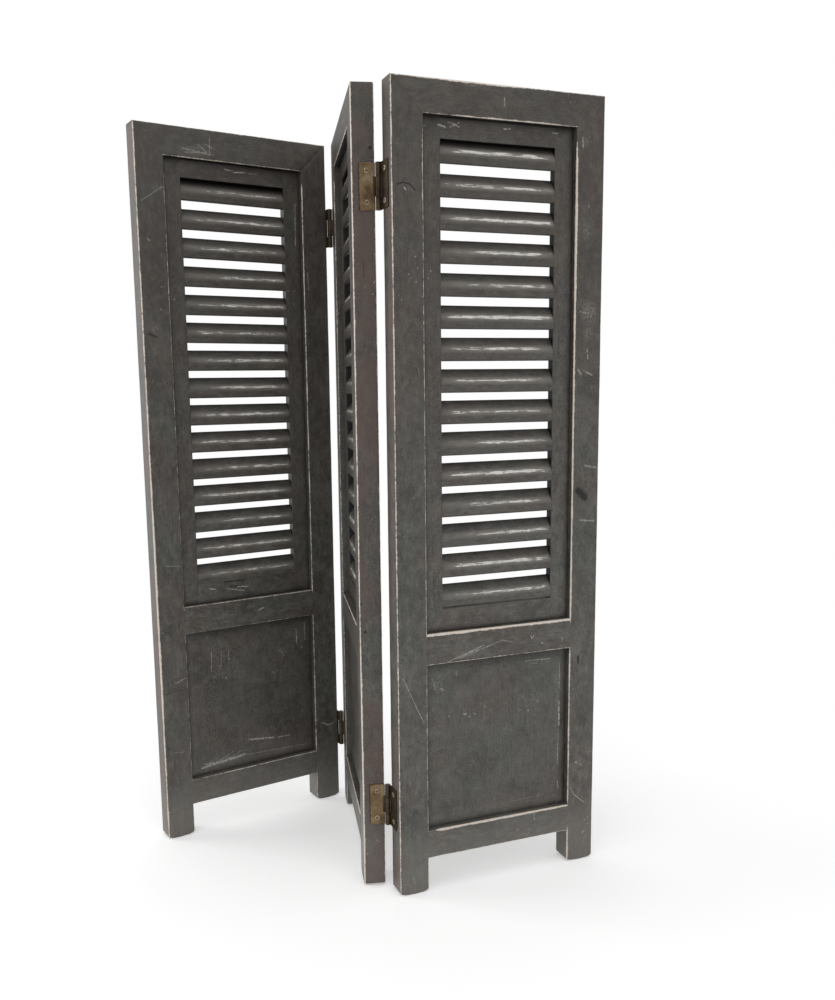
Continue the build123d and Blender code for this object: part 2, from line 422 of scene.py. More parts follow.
def stoppedRadius(innerCorners, radiusOuter, radiusInner):
    # inner arrises are eased only beside the openings and die out towards the rails
    sharp = boardLook["sharpRadius"]
    length = railLook["stopLength"]
    stops = [
        (0.0, radiusInner), (bottomRail[0] - length / 2, radiusInner), (bottomRail[0], sharp),
        (bottomRail[1], sharp), (bottomRail[1] + length, radiusInner),
        (midRail[0] - length, radiusInner), (midRail[0], sharp),
        (midRail[1], sharp), (midRail[1] + length, radiusInner),
        (topRail[0] - length, radiusInner), (topRail[0], sharp), (1.0, sharp),
    ]

    def radius(k, positions):
        return between(positions, stops if k in innerCorners else radiusOuter)
    return radius


def stileSkin(side, atRight, wearProfiles, seed):
    width, height, stile = panelSize["width"], panelSize["height"], panelSize["stile"]
    edge = (width - stile, width) if atRight else (0.0, stile)
    if atRight:
        mitre = lambda a: height - (width - a)
        inner = (0, 3)
    else:
        mitre = lambda a: height - a
        inner = (1, 2)
    radius = stoppedRadius(inner, stileLook["outerRadius"], stileLook["innerRadius"])
    return boardSkin(side, "uwz", edge, (0.0, panelSize["depth"]), footCut(edge), mitre, radius,
                     wornAlong(wearProfiles), seed,
                     endRound=(stileLook["footArris"], stileLook["mitreRound"]), paintedShadeAt=recessShade)


def easedStops(start, end, length):
    # the easing of a rail's arrises dies out over a length before both ends
    easing, stop = railLook["easing"], railLook["stopRadius"]
    return [(start, stop), (start + length, easing), (end - length, easing), (end, stop)]


def railSkin(side, low, high, wearProfiles, seed):
    # level board between the stiles, sunk a hair into both
    stile, width = panelSize["stile"], panelSize["width"]
    start, end = stile - boardLook["sunk"], width - stile + boardLook["sunk"]
    stops = easedStops(start, end, railLook["stopLength"])
    return boardSkin(side, "zwu", (low, high), (0.0, panelSize["depth"]), constantCut(start),
                     constantCut(end),
                     lambda k, positions: between(positions, stops), wornAlong(wearProfiles), seed,
                     paintedShadeAt=recessShade)


def topRailSkin(side, wearProfiles, seed):
    # mitred at both ends: each end follows the line from the outer corner to the inner one
    height, width = panelSize["height"], panelSize["width"]
    start = lambda a: height - a
    end = lambda a: width - (height - a)
    stile = panelSize["stile"]
    stops = easedStops(stile, width - stile, railLook["mitreStopLength"])
    mitreRound = stileLook["mitreRound"]

    def radius(k, positions):
        return between(positions, stops if k in (0, 3) else stileLook["outerRadius"])
    return boardSkin(side, "zwu", (topRail[0], topRail[1]), (0.0, panelSize["depth"]), start, end,
                     radius, wornAlong(wearProfiles), seed, endRound=(mitreRound, mitreRound),
                     paintedShadeAt=recessShade)


def stripSkin(side, order, across, along, seed):
    # louvre frame strip without wear, sunk a hair into its neighbours
    sunk = boardLook["sunk"]
    return boardSkin(side, order, across, louvreDepth, constantCut(along[0] - sunk),
                     constantCut(along[1] + sunk),
                     steady(stripArris), steady(0.0), seed, paintedShadeAt=openingShade)


def paintedCornerShade(border):
    # painted shade where a set-back face meets the frame: strongest at the corner, gone at its reach
    return paintedShadeLook["corner"] * np.clip(1.0 - border / paintedShadeLook["cornerReach"], 0.0, 1.0) ** 1.5


def openingShade(local):
    # painted shade: nearly 1 on the inner sides of the louvre opening, falling to nothing at its front and
    # back edges, with the painted shade of the frame's corners
    u, w, z = local[..., 0], local[..., 1], local[..., 2]
    reveal = paintedShadeLook["onFace"]
    onSide = (np.abs(u - slatSpan[0]) < reveal) | (np.abs(u - slatSpan[1]) < reveal)
    onEnd = (np.abs(z - stripEdges[0]) < reveal) | (np.abs(z - stripEdges[1]) < reveal)
    fromFace = np.minimum(w - louvreDepth[0], louvreDepth[1] - w)
    inward = np.clip(fromFace / paintedShadeLook["openingFade"], 0.0, 1.0)
    inOpening = (z > stripEdges[0] - reveal) & (z < stripEdges[1] + reveal)
    stile, width = panelSize["stile"], panelSize["width"]
    border = np.minimum(np.minimum(u - stile, width - stile - u),
                        np.minimum(z - midRail[1], topRail[0] - z))
    return np.maximum(paintedShadeLook["opening"] * inward * (onSide | onEnd) * inOpening, paintedCornerShade(border))


# Lower board: rings of rectangles from the middle of the back round the edge to the middle of the front
lowerBoardLook = {
    "raise": 0.0015,
    "margin": 0.0075,
    "stepsAcross": 30,
    "stepsUp": 32,
    "pillow": 0.0004,
    "marginRings": (0.0, 0.0020, 0.0050),
    "fieldRings": (-0.0016, -0.0006, 0.0, 0.0007, 0.002, 0.006, 0.012, 0.022, 0.036, 0.05, 0.062),
    "pillowReach": 0.03,
    # painted shadow below the mid rail: its strength and its reach down the board
    "topShade": 0.55,
    "topShadeReach": 0.016,
}


def lowerBoardSkin(side, seed):
    # rectangle loop shrunk by an inset at each depth; the field swells slightly towards its middle
    look = lowerBoardLook
    sunk = boardLook["sunk"]
    stile, width = panelSize["stile"], panelSize["width"]
    low = np.array([stile - sunk, bottomRail[1] - sunk])
    high = np.array([width - stile + sunk, midRail[0] + sunk])
    edgeFront = boardDepth[0] + look["raise"]
    edgeBack = boardDepth[1] - look["raise"]
    field = look["margin"] + sunk
    insets = np.concatenate([look["marginRings"], field + np.array(look["fieldRings"])])
    bevel = [(0.0, 0.0), (field - 0.0008, 0.80), (field, 0.93), (field + 0.0012, 1.0)]
    rise = between(insets, bevel) * look["raise"]
    swell = np.clip((insets - field) / look["pillowReach"], 0.0, 1.0) * look["pillow"]
    front = edgeFront - rise - swell + look["pillow"]
    back = edgeBack + rise + swell - look["pillow"]
    insetAll = np.concatenate([insets[::-1], insets])
    depthAll = np.concatenate([back[::-1], front])
    across = np.linspace(0.0, 1.0, look["stepsAcross"], endpoint=False)
    up = np.linspace(0.0, 1.0, look["stepsUp"], endpoint=False)
    ones, zeros = np.ones_like, np.zeros_like
    loopU = np.concatenate([across, ones(up), 1.0 - across, zeros(up)])
    loopZ = np.concatenate([zeros(across), up, ones(across), 1.0 - up])
    lowAll = low[None, :] + insetAll[:, None]
    highAll = high[None, :] - insetAll[:, None]
    u = lowAll[:, :1] + (highAll - lowAll)[:, :1] * loopU[None, :]
    z = lowAll[:, 1:] + (highAll - lowAll)[:, 1:] * loopZ[None, :]
    w = np.repeat(depthAll[:, None], len(loopU), 1)
    local = np.stack([u, w, z], -1)
    shift = np.random.default_rng(seed).uniform(-3.0, 3.0, 3)
    grain = local + shift
    arris = np.repeat(np.abs(insetAll - field)[:, None], len(loopU), 1)
    border = np.minimum(np.minimum(u - stile, width - stile - u),
                        np.minimum(z - bottomRail[1], midRail[0] - z))
    # painted shadow under the mid rail across the top of the board, and painted shade in its corners
    underRail = look["topShade"] * np.clip(1.0 - (midRail[0] - z) / look["topShadeReach"], 0.0, 1.0) ** 2
    deep = np.maximum(paintedCornerShade(border), underRail)
    fields = {"grain": grain, "place": local, "arris": arris, "rub": np.zeros(arris.shape), "deep": deep}
    return closedSkin(toRow(local, side), fields)


# Slats
slatLook = {
    "count": 15,
    "pitch": 0.0268,
    "start": {"left": 0.2591, "middle": 0.2608, "right": 0.2608},
    "noseHeight": 0.0106,
    "rise": 0.0104,
    "noseRadius": 0.0080,
    "lipRadius": 0.0020,
    "edgeRadius": 0.0004,
    "stations": 46,
    "unevenness": 0.00028,
    "noseSpread": 0.003,
    "topClosing": 0.0014,
    "noseShift": (0.0005, -0.0003),
    "dentShare": 1.6,
    "bowShare": 0.6,
    # painted shade on the slats: back face, underside, top, and the closed slot above the top slat
    "paintedSlatShade": {"back": 0.15, "below": 0.9, "above": 0.62, "closed": 0.95},
    # rubbing of the slat noses by panel, which also sets the painted highlight on them
    "rubbingAndSheen": {"left": 0.95, "middle": 0.90, "right": 1.05},
}


def slatSection():
    # parallelogram with an upright front and back whose two front corners are well rounded; the sharp
    # corner lies below the lip by lip radius / tan(half its angle) - lip radius
    front, back = louvreDepth
    nose, rise, lip = slatLook["noseHeight"], slatLook["rise"], slatLook["lipRadius"]
    drop = lip / math.tan(math.atan2(back - front, rise) / 2) - lip
    corners = np.array([(front, -drop), (back, rise - drop), (back, rise + nose), (front, nose)])
    radii = [lip, slatLook["edgeRadius"], slatLook["edgeRadius"], slatLook["noseRadius"]]
    steps = [9, 3, 3, 9]
    points = []
    for k in range(4):
        here, before, after = corners[k], corners[k - 1], corners[(k + 1) % 4]
        toBefore = (before - here) / np.linalg.norm(before - here)
        toAfter = (after - here) / np.linalg.norm(after - here)
        half = math.acos(float(np.clip(np.dot(toBefore, toAfter), -1, 1))) / 2
        reach = radii[k] / math.tan(half)
        middle = (toBefore + toAfter) / np.linalg.norm(toBefore + toAfter)
        centre = here + middle * radii[k] / math.sin(half)
        start, end = here + toBefore * reach - centre, here + toAfter * reach - centre
        angles = np.arctan2([start[1], end[1]], [start[0], end[0]])
        turn = (angles[1] - angles[0] + math.pi) % (2 * math.pi) - math.pi
        for step in np.linspace(0.0, 1.0, steps[k]):
            angle = angles[0] + turn * step
            points.append(centre + radii[k] * np.array([math.cos(angle), math.sin(angle)]))
        lead = here + toAfter * reach
        nextReach = radii[(k + 1) % 4] * 1.2
        for part in (0.33, 0.67):
            points.append(lead + (after - toAfter * nextReach - lead) * part)
    section = np.array(points)
    noseAt = np.array([front, nose]) + np.array(slatLook["noseShift"])
    return section, noseAt


def slatSkin(side, index, seed):
    # the section carried across the opening, each slat a hair tilted and bowed
    section, noseAt = slatSection()
    chance = np.random.default_rng(seed)
    base = slatLook["start"][side] + index * slatLook["pitch"]
    u = np.linspace(slatSpan[0] - boardLook["sunk"], slatSpan[1] + boardLook["sunk"], slatLook["stations"])
    scale = np.concatenate([[0.5], np.ones(len(u)), [0.5]])
    u = np.concatenate([[u[0]], u, [u[-1]]])
    middle = section.mean(0)
    ring = middle + (section[None] - middle) * scale[:, None, None]
    inward = np.clip((section[:, 0] - louvreDepth[0]) / (louvreDepth[1] - louvreDepth[0]), 0.0, 1.0)
    distance = np.linalg.norm(section - noseAt, axis=1)
    rough = slatLook["unevenness"]
    noseness = np.exp(-distance / slatLook["noseSpread"])
    dent = gentleWave(u, seed + 5, rough * slatLook["dentShare"])[:, None] * noseness[None, :]
    tilt = chance.uniform(-1, 1) * rough
    bow = chance.uniform(-1, 1) * rough * slatLook["bowShare"]
    across = (u - u.mean()) / (u[-1] - u[0])
    lift = tilt * across + bow * (0.25 - across ** 2)
    w = ring[..., 0] + dent
    z = base + ring[..., 1] - dent * 0.7 + lift[:, None]
    topmost = index == slatLook["count"] - 1
    if topmost:  # its rear upper edge always meets the strip above
        upperSide = section[:, 1] > slatLook["rise"] * inward + slatLook["noseHeight"] * 0.7
        z = z + (slatLook["topClosing"] * inward * upperSide)[None]
    z = np.clip(z, stripEdges[0] - boardLook["sunk"], stripEdges[1] + boardLook["sunk"])
    local = np.stack([np.repeat(u[:, None], len(section), 1), w, z], -1)

    # rubbing across the slat, which also sets the painted highlight on its nose: little at the ends, most
    # right of the middle
    most = slatLook["rubbingAndSheen"][side] * chance.uniform(0.8, 1.12)
    leftRub, rightRub = chance.uniform(0.3, 0.9), chance.uniform(0.3, 0.9)
    rubs = [(-0.5, 0.05), (-0.36, leftRub), (-0.1, 0.9), (0.3, 1.0), (0.46, rightRub), (0.5, 0.1)]
    rub = np.repeat((most * between(across, rubs))[:, None], len(section), 1)
    around = np.cumsum(np.linalg.norm(np.roll(section, 1, 0) - section, axis=1))
    shift = chance.uniform(-3.0, 3.0, 3)
    grain = np.stack([np.repeat(around[None], len(u), 0), ring[..., 1], local[..., 0]], -1) + shift

    # painted shade grows towards the back on the underside and, less, on top; the back face has one light,
    # even shade
    paintedSlatShade = slatLook["paintedSlatShade"]
    underside = section[:, 1] < slatLook["rise"] * inward + slatLook["lipRadius"]
    onBack = section[:, 0] > louvreDepth[1] - 0.0001
    below = paintedSlatShade["below"] * np.clip(inward * 2.2, 0.0, 1.0)
    above = paintedSlatShade["above"] * np.clip((inward - 0.3) * 1.6, 0.0, 1.0)
    deep = np.where(onBack, paintedSlatShade["back"], np.where(underside, below, above))
    # painted shade closing the slot between the top slat and the strip above
    if topmost:
        closed = paintedSlatShade["closed"] * np.clip(inward * 2.0 - 0.35, 0.0, 1.0)
        deep = np.maximum(deep, np.where(onBack, 0.0, closed))
    fields = {"grain": grain, "place": local, "arris": np.repeat(distance[None], len(u), 0), "rub": rub,
              "deep": np.repeat(deep[None], len(u), 0)}
    return closedSkin(toRow(local, side), fields)


# Hinges
hingeLook = {
    "leafHeight": 0.038,
    "leafThickness": 0.0010,
    "leafEasing": 0.00028,
    "reach": 0.0138,
    "barrelRadius": 0.0025,
    "barrelWall": 0.0012,
    "innerKnuckle": 0.0160,
    "knuckleSpace": 0.0003,
    "curlDegrees": 322.0,
    "screwSpacing": 0.0255,
    "screwFromCorner": 0.0072,
    "screwRadius": 0.0025,
    "screwRings": (0.08, 0.2, 0.32, 0.5, 0.8, 1.1, 1.35, 1.55, 1.7, 1.85, 2.0, 2.15, 2.27, 2.32, 2.45, 2.6),
    "screwGroove": 0.00227,
    "screwRim": 0.00192,
    "screwDome": 0.00035,
    "recessDepth": 0.0007,
    "recessHalfLength": 0.0015,
    "recessHalfWidth": 0.00040,
    "recessLip": 0.00012,
    "screwLift": 0.00005,
    "shankRadii": (0.0026, 0.0022, 0.0012, 0.0012),
    "shankRises": (-0.0006, -0.0009, -0.0018, -0.0028),
    # painted shade: the outer leaves and the knuckles are darkened as if in shadow, the inner leaves barely
    "paintedLeafShade": {"inner": 0.05, "outer": 0.80},
    "paintedKnuckleShade": 0.74,
    "pinRadius": 0.0011,
}
halfLeaf = hingeLook["leafHeight"] / 2
halfKnuckle = hingeLook["innerKnuckle"] / 2
knuckleRanges = {
    "inner": [(-halfKnuckle, halfKnuckle)],
    "outer": [(-halfLeaf, -halfKnuckle - hingeLook["knuckleSpace"]),
              (halfKnuckle + hingeLook["knuckleSpace"], halfLeaf)],
}


def plainSkin(side, local, seed, edge, rub=0.0, deep=0.0):
    # closed skin with the brass fields: distance from its edge, rubbing (on the screws' rims a painted
    # highlight) and painted shade
    shift = np.random.default_rng(seed).uniform(-3.0, 3.0, 3)
    fields = {"place": local, "grain": local + shift, "arris": edge}
    fields["rub"] = np.broadcast_to(rub, edge.shape).copy()
    fields["deep"] = np.broadcast_to(deep, edge.shape).copy()
    return closedSkin(toRow(local, side), fields)


def leafSkins(side, atRight, pinBehindPanel, height, leafKind, seed):
    # a flat plate on the panel's edge and one curl of sheet round the pin for each knuckle
    look = hingeLook
    outward = 1.0 if atRight else -1.0
    edge = panelSize["width"] if atRight else 0.0
    toPin = 1.0 if pinBehindPanel else -1.0
    cornerDepth = panelSize["depth"] if pinBehindPanel else 0.0
    far = cornerDepth - toPin * look["reach"]
    across = (min(far, cornerDepth), max(far, cornerDepth))
    top = edge + outward * look["leafThickness"]
    depth = (min(edge, top), max(edge, top))
    low, high = height - look["leafHeight"] / 2, height + look["leafHeight"] / 2
    easing = look["leafEasing"]
    plate = boardSkin(side, "wuz", across, depth, constantCut(low), constantCut(high), steady(easing),
                      steady(0.0), seed, endRound=(easing, easing), stationLength=0.002, wavy=False)
    # painted shade on the leaf, heavy on the outer leaves
    plate[3]["deep"] = np.full_like(plate[3]["rub"], look["paintedLeafShade"][leafKind])
    skins = [plate]
    pinDepth = cornerDepth + toPin * pinOffset
    pinAcross = edge + outward * pinOffset
    wall = look["barrelWall"]
    middleRadius = look["barrelRadius"] - wall / 2
    for knuckleLow, knuckleHigh in knuckleRanges[leafKind]:
        straight = np.linspace(0.0, 1.0, 5)[:-1]
        root = cornerDepth - toPin * 0.002
        turn = np.radians(np.linspace(0.0, look["curlDegrees"], 44))
        pathW = np.concatenate([root + (pinDepth - root) * straight,
                                pinDepth + toPin * middleRadius * np.sin(turn)])
        pathU = np.concatenate([np.full(4, pinAcross - outward * middleRadius),
                                pinAcross - outward * middleRadius * np.cos(turn)])
        tangent = np.stack([np.gradient(pathW), np.gradient(pathU)], -1)
        tangent /= np.linalg.norm(tangent, axis=1)[:, None]
        normal = np.stack([-tangent[:, 1], tangent[:, 0]], -1)
        half = np.full(len(pathW), wall / 2)
        half[:4] = look["leafThickness"] / 2
        tall = (knuckleHigh - knuckleLow) / 2
        step = boardLook["endEasing"] / tall
        ringT = np.array([-1.0, -1.0, -0.75, 0.75, 1.0, 1.0, 1.0, 1.0, 0.75, -0.75, -1.0, -1.0])
        halfRing = np.array([-1.0 + 2 * step, -1.0 + step, -1.0, -1.0, -1.0 + step, -1.0 + 2 * step])
        ringZ = np.concatenate([halfRing, -halfRing])
        centreZ = height + (knuckleLow + knuckleHigh) / 2
        w = pathW[:, None] + normal[:, :1] * half[:, None] * ringT[None, :]
        u = pathU[:, None] + normal[:, 1:] * half[:, None] * ringT[None, :]
        z = centreZ + np.repeat((tall * ringZ)[None, :], len(pathW), 0)
        edgeDistance = np.repeat((np.abs(1.0 - np.abs(ringZ)) * tall)[None, :], len(pathW), 0)
        local = np.stack([u, w, z], -1)
        # the knuckles are darkened with painted shade
        skins.append(plainSkin(side, local, seed + 7, edgeDistance, deep=look["paintedKnuckleShade"]))
    return skins


def screwSkin(side, atRight, pinBehindPanel, height, seed):
    # polar grid: a low dome falling to the rim, with a cross sunk into it, closed behind by a short shank
    look = hingeLook
    chance = np.random.default_rng(seed)
    outward = 1.0 if atRight else -1.0
    top = (panelSize["width"] if atRight else 0.0) + outward * (look["leafThickness"] + look["screwLift"])
    depth = panelSize["depth"] - look["screwFromCorner"] if pinBehindPanel else look["screwFromCorner"]
    angle = np.linspace(0.0, 2 * math.pi, 72, endpoint=False) + chance.uniform(0, 1.57)
    turned = chance.uniform(0, 1.57)
    radius = np.array(look["screwRings"]) / 1000.0
    r = radius[:, None]
    x, y = r * np.cos(angle - turned)[None], r * np.sin(angle - turned)[None]

    def inBar(along, beside):
        # 1 inside one bar of the cross, falling to 0 over its lip
        lip = look["recessLip"]
        return np.minimum(np.clip((look["recessHalfWidth"] - np.abs(beside)) / lip + 0.5, 0, 1),
                          np.clip((look["recessHalfLength"] - np.abs(along)) / lip, 0, 1))

    inCross = np.maximum(inBar(x, y), inBar(y, x))
    inGroove = np.clip((r - look["screwGroove"]) / 0.00005, 0, 1)
    dome = 0.00006 + look["screwDome"] * (1 - (r / look["screwRadius"]) ** 2)
    rise = dome * (1 - inGroove) - 0.00002 * inGroove - look["recessDepth"] * inCross
    # a pale ring on the rim, painted as a highlight
    rim = np.exp(-((radius - look["screwRim"]) / 0.00028) ** 2)[:, None] * (1 - inCross) * (1 - inGroove)
    shankRises = np.array(look["shankRises"])
    allRadius = np.concatenate([radius, look["shankRadii"]])
    allRise = np.concatenate([rise, np.repeat(shankRises[:, None], len(angle), 1)])
    u = top + outward * allRise
    w = depth + allRadius[:, None] * np.cos(angle)[None]
    z = height + allRadius[:, None] * np.sin(angle)[None]
    local = np.stack([u, w, z], -1)
    plain = np.zeros((len(shankRises), len(angle)))
    # painted shade in the cross and in the groove round the head
    slotShade = np.concatenate([np.maximum(inCross, inGroove) * 0.95, plain])
    rimHighlight = np.concatenate([rim, plain])
    return plainSkin(side, local, seed, np.full(u.shape, 0.01), rimHighlight, slotShade)


def pinSkin(side, atRight, pinBehindPanel, height, seed):
    # rings round the pin's axis, drawn in along a quarter circle at both ends
    look = hingeLook
    dome = np.radians(np.array([80.0, 60.0, 40.0, 20.0, 0.0]))
    radius = look["pinRadius"] * np.concatenate([np.cos(dome), [1.0], np.cos(dome[::-1])])
    tip = look["pinRadius"] * 0.6
    reach = look["leafHeight"] / 2 - tip
    rise = np.concatenate([-reach - tip * np.sin(dome), [0.0], reach + tip * np.sin(dome[::-1])])
    angle = np.linspace(0.0, 2 * math.pi, 24, endpoint=False)
    outward = 1.0 if atRight else -1.0
    pinAcross = (panelSize["width"] if atRight else 0.0) + outward * pinOffset
    pinDepth = panelSize["depth"] + pinOffset if pinBehindPanel else -pinOffset
    u = pinAcross + radius[:, None] * np.cos(angle)[None]
    w = pinDepth + radius[:, None] * np.sin(angle)[None]
    z = height + np.repeat(rise[:, None], len(angle), 1)
    # the pins are lightly rubbed and lightly darkened with painted shade
    return plainSkin(side, np.stack([u, w, z], -1), seed, np.full(u.shape, 0.01), rub=0.3, deep=0.15)


# Materials

def addNode(tree, kind, **values):
    node = tree.nodes.new(kind)
    for key, value in values.items():
        if hasattr(node, key):
            setattr(node, key, value)
        else:
            node.inputs[key].default_value = value
    return node


def link(tree, source, target):
    tree.links.new(source, target)


def mathNode(tree, operation, first, second=None, third=None, clamp=False):
    node = tree.nodes.new("ShaderNodeMath")
    node.operation = operation
    node.use_clamp = clamp
    for index, value in enumerate((first, second, third)):
        if value is None:
            continue
        if isinstance(value, (int, float)):
            node.inputs[index].default_value = value
        else:
            link(tree, value, node.inputs[index])
    return node.outputs[0]


def vectorMath(tree, operation, first, second=None, third=None):
    node = tree.nodes.new("ShaderNodeVectorMath")
    node.operation = operation
    sockets = [node.inputs[0], node.inputs["Scale"]] if operation == "SCALE" else node.inputs[:3]
    for socket, value in zip(sockets, (first, second, third)):
        if isinstance(value, bpy.types.NodeSocket):
            link(tree, value, socket)
        elif value is not None:
            socket.default_value = value
    return node.outputs["Value" if operation in ("DOT_PRODUCT", "DISTANCE", "LENGTH") else "Vector"]


def mixColours(tree, factor, first, second):
    node = tree.nodes.new("ShaderNodeMix")
    node.data_type = "RGBA"
    node.clamp_factor = True
    for socket, value in ((node.inputs[0], factor), (node.inputs[6], first), (node.inputs[7], second)):
        if isinstance(value, (int, float)):
            socket.default_value = value
        elif isinstance(value, tuple):
            socket.default_value = value + (1.0,)
        else:
            link(tree, value, socket)
    return node.outputs[2]


def mixShaders(tree, factor, first, second):
    node = tree.nodes.new("ShaderNodeMixShader")
    for socket, source in zip(node.inputs, (factor, first, second)):
        link(tree, source, socket)
    return node.outputs[0]


def toOutput(tree, surface, kind="ShaderNodeOutputMaterial"):
    link(tree, surface, tree.nodes.new(kind).inputs["Surface"])


def softStep(tree, value, low, high):
    node = tree.nodes.new("ShaderNodeMapRange")
    node.interpolation_type = "SMOOTHSTEP"
    link(tree, value, node.inputs["Value"])
    node.inputs["From Min"].default_value = low
    node.inputs["From Max"].default_value = high
    return node.outputs["Result"]


def stepped(tree, field, low, high, most):
    # a soft step of a field, from 0 to most
    return mathNode(tree, "MULTIPLY", softStep(tree, field, low, high), most)


def fieldVector(tree, name):
    return addNode(tree, "ShaderNodeAttribute", attribute_name=name).outputs["Vector"]


def fieldValue(tree, name):
    return addNode(tree, "ShaderNodeAttribute", attribute_name=name).outputs["Fac"]


def stretched(tree, vector, scale, offset=(0.0, 0.0, 0.0)):
    node = addNode(tree, "ShaderNodeMapping", Scale=scale, Location=offset)
    link(tree, vector, node.inputs["Vector"])
    return node.outputs["Vector"]


def noise(tree, vector, scale, detail=3.0, roughness=0.55, distortion=0.0):
    node = addNode(tree, "ShaderNodeTexNoise", Scale=scale, Detail=detail, Roughness=roughness,
                   Distortion=distortion)
    link(tree, vector, node.inputs["Vector"])
    return node.outputs["Fac"]


def srgb(*values):
    # display colour, 0 to 255, as the shader's linear colour
    return tuple(((v / 255 + 0.055) / 1.055) ** 2.4 if v > 10 else v / 255 / 12.92 for v in values)


woodLook = {
    "stain": srgb(87, 84, 79),
    "stainDark": srgb(63, 60, 56),
    "stainPale": srgb(108, 105, 99),
    "stainBrown": srgb(86, 76, 70),
    "stainGreen": srgb(80, 84, 78),
    "grainDark": srgb(44, 41, 38),
    # dust; also the colour of the painted sheen on the slats and of the painted light towards the feet
    "dustAndPaintedLight": srgb(140, 136, 129),
    "bareWood": srgb(228, 216, 204),
    "scratch": srgb(205, 201, 194),
    "slatStreak": srgb(226, 223, 217),
    # dark of the grooves, and of the painted shade in recesses and gaps
    "grooveAndShade": srgb(12, 11, 10),
    # painted shade towards the top of the panels
    "paintedTopShade": srgb(66, 58, 52),
    # painted light by height: darker and browner towards the top, paler towards the feet
    "paintedLightByHeight": [(0.22, 0.70, 0.45, "paintedTopShade"), (0.085, 0.015, 0.42, "dustAndPaintedLight")],  # from height, to height
    "sideBrown": srgb(100, 80, 74),
    "roughness": 0.50,
    "grainRelief": 0.00012,
    "rubWidth": 0.0012,
    "rubRagged": 0.0022,
    "rubFade": 0.00045,
}

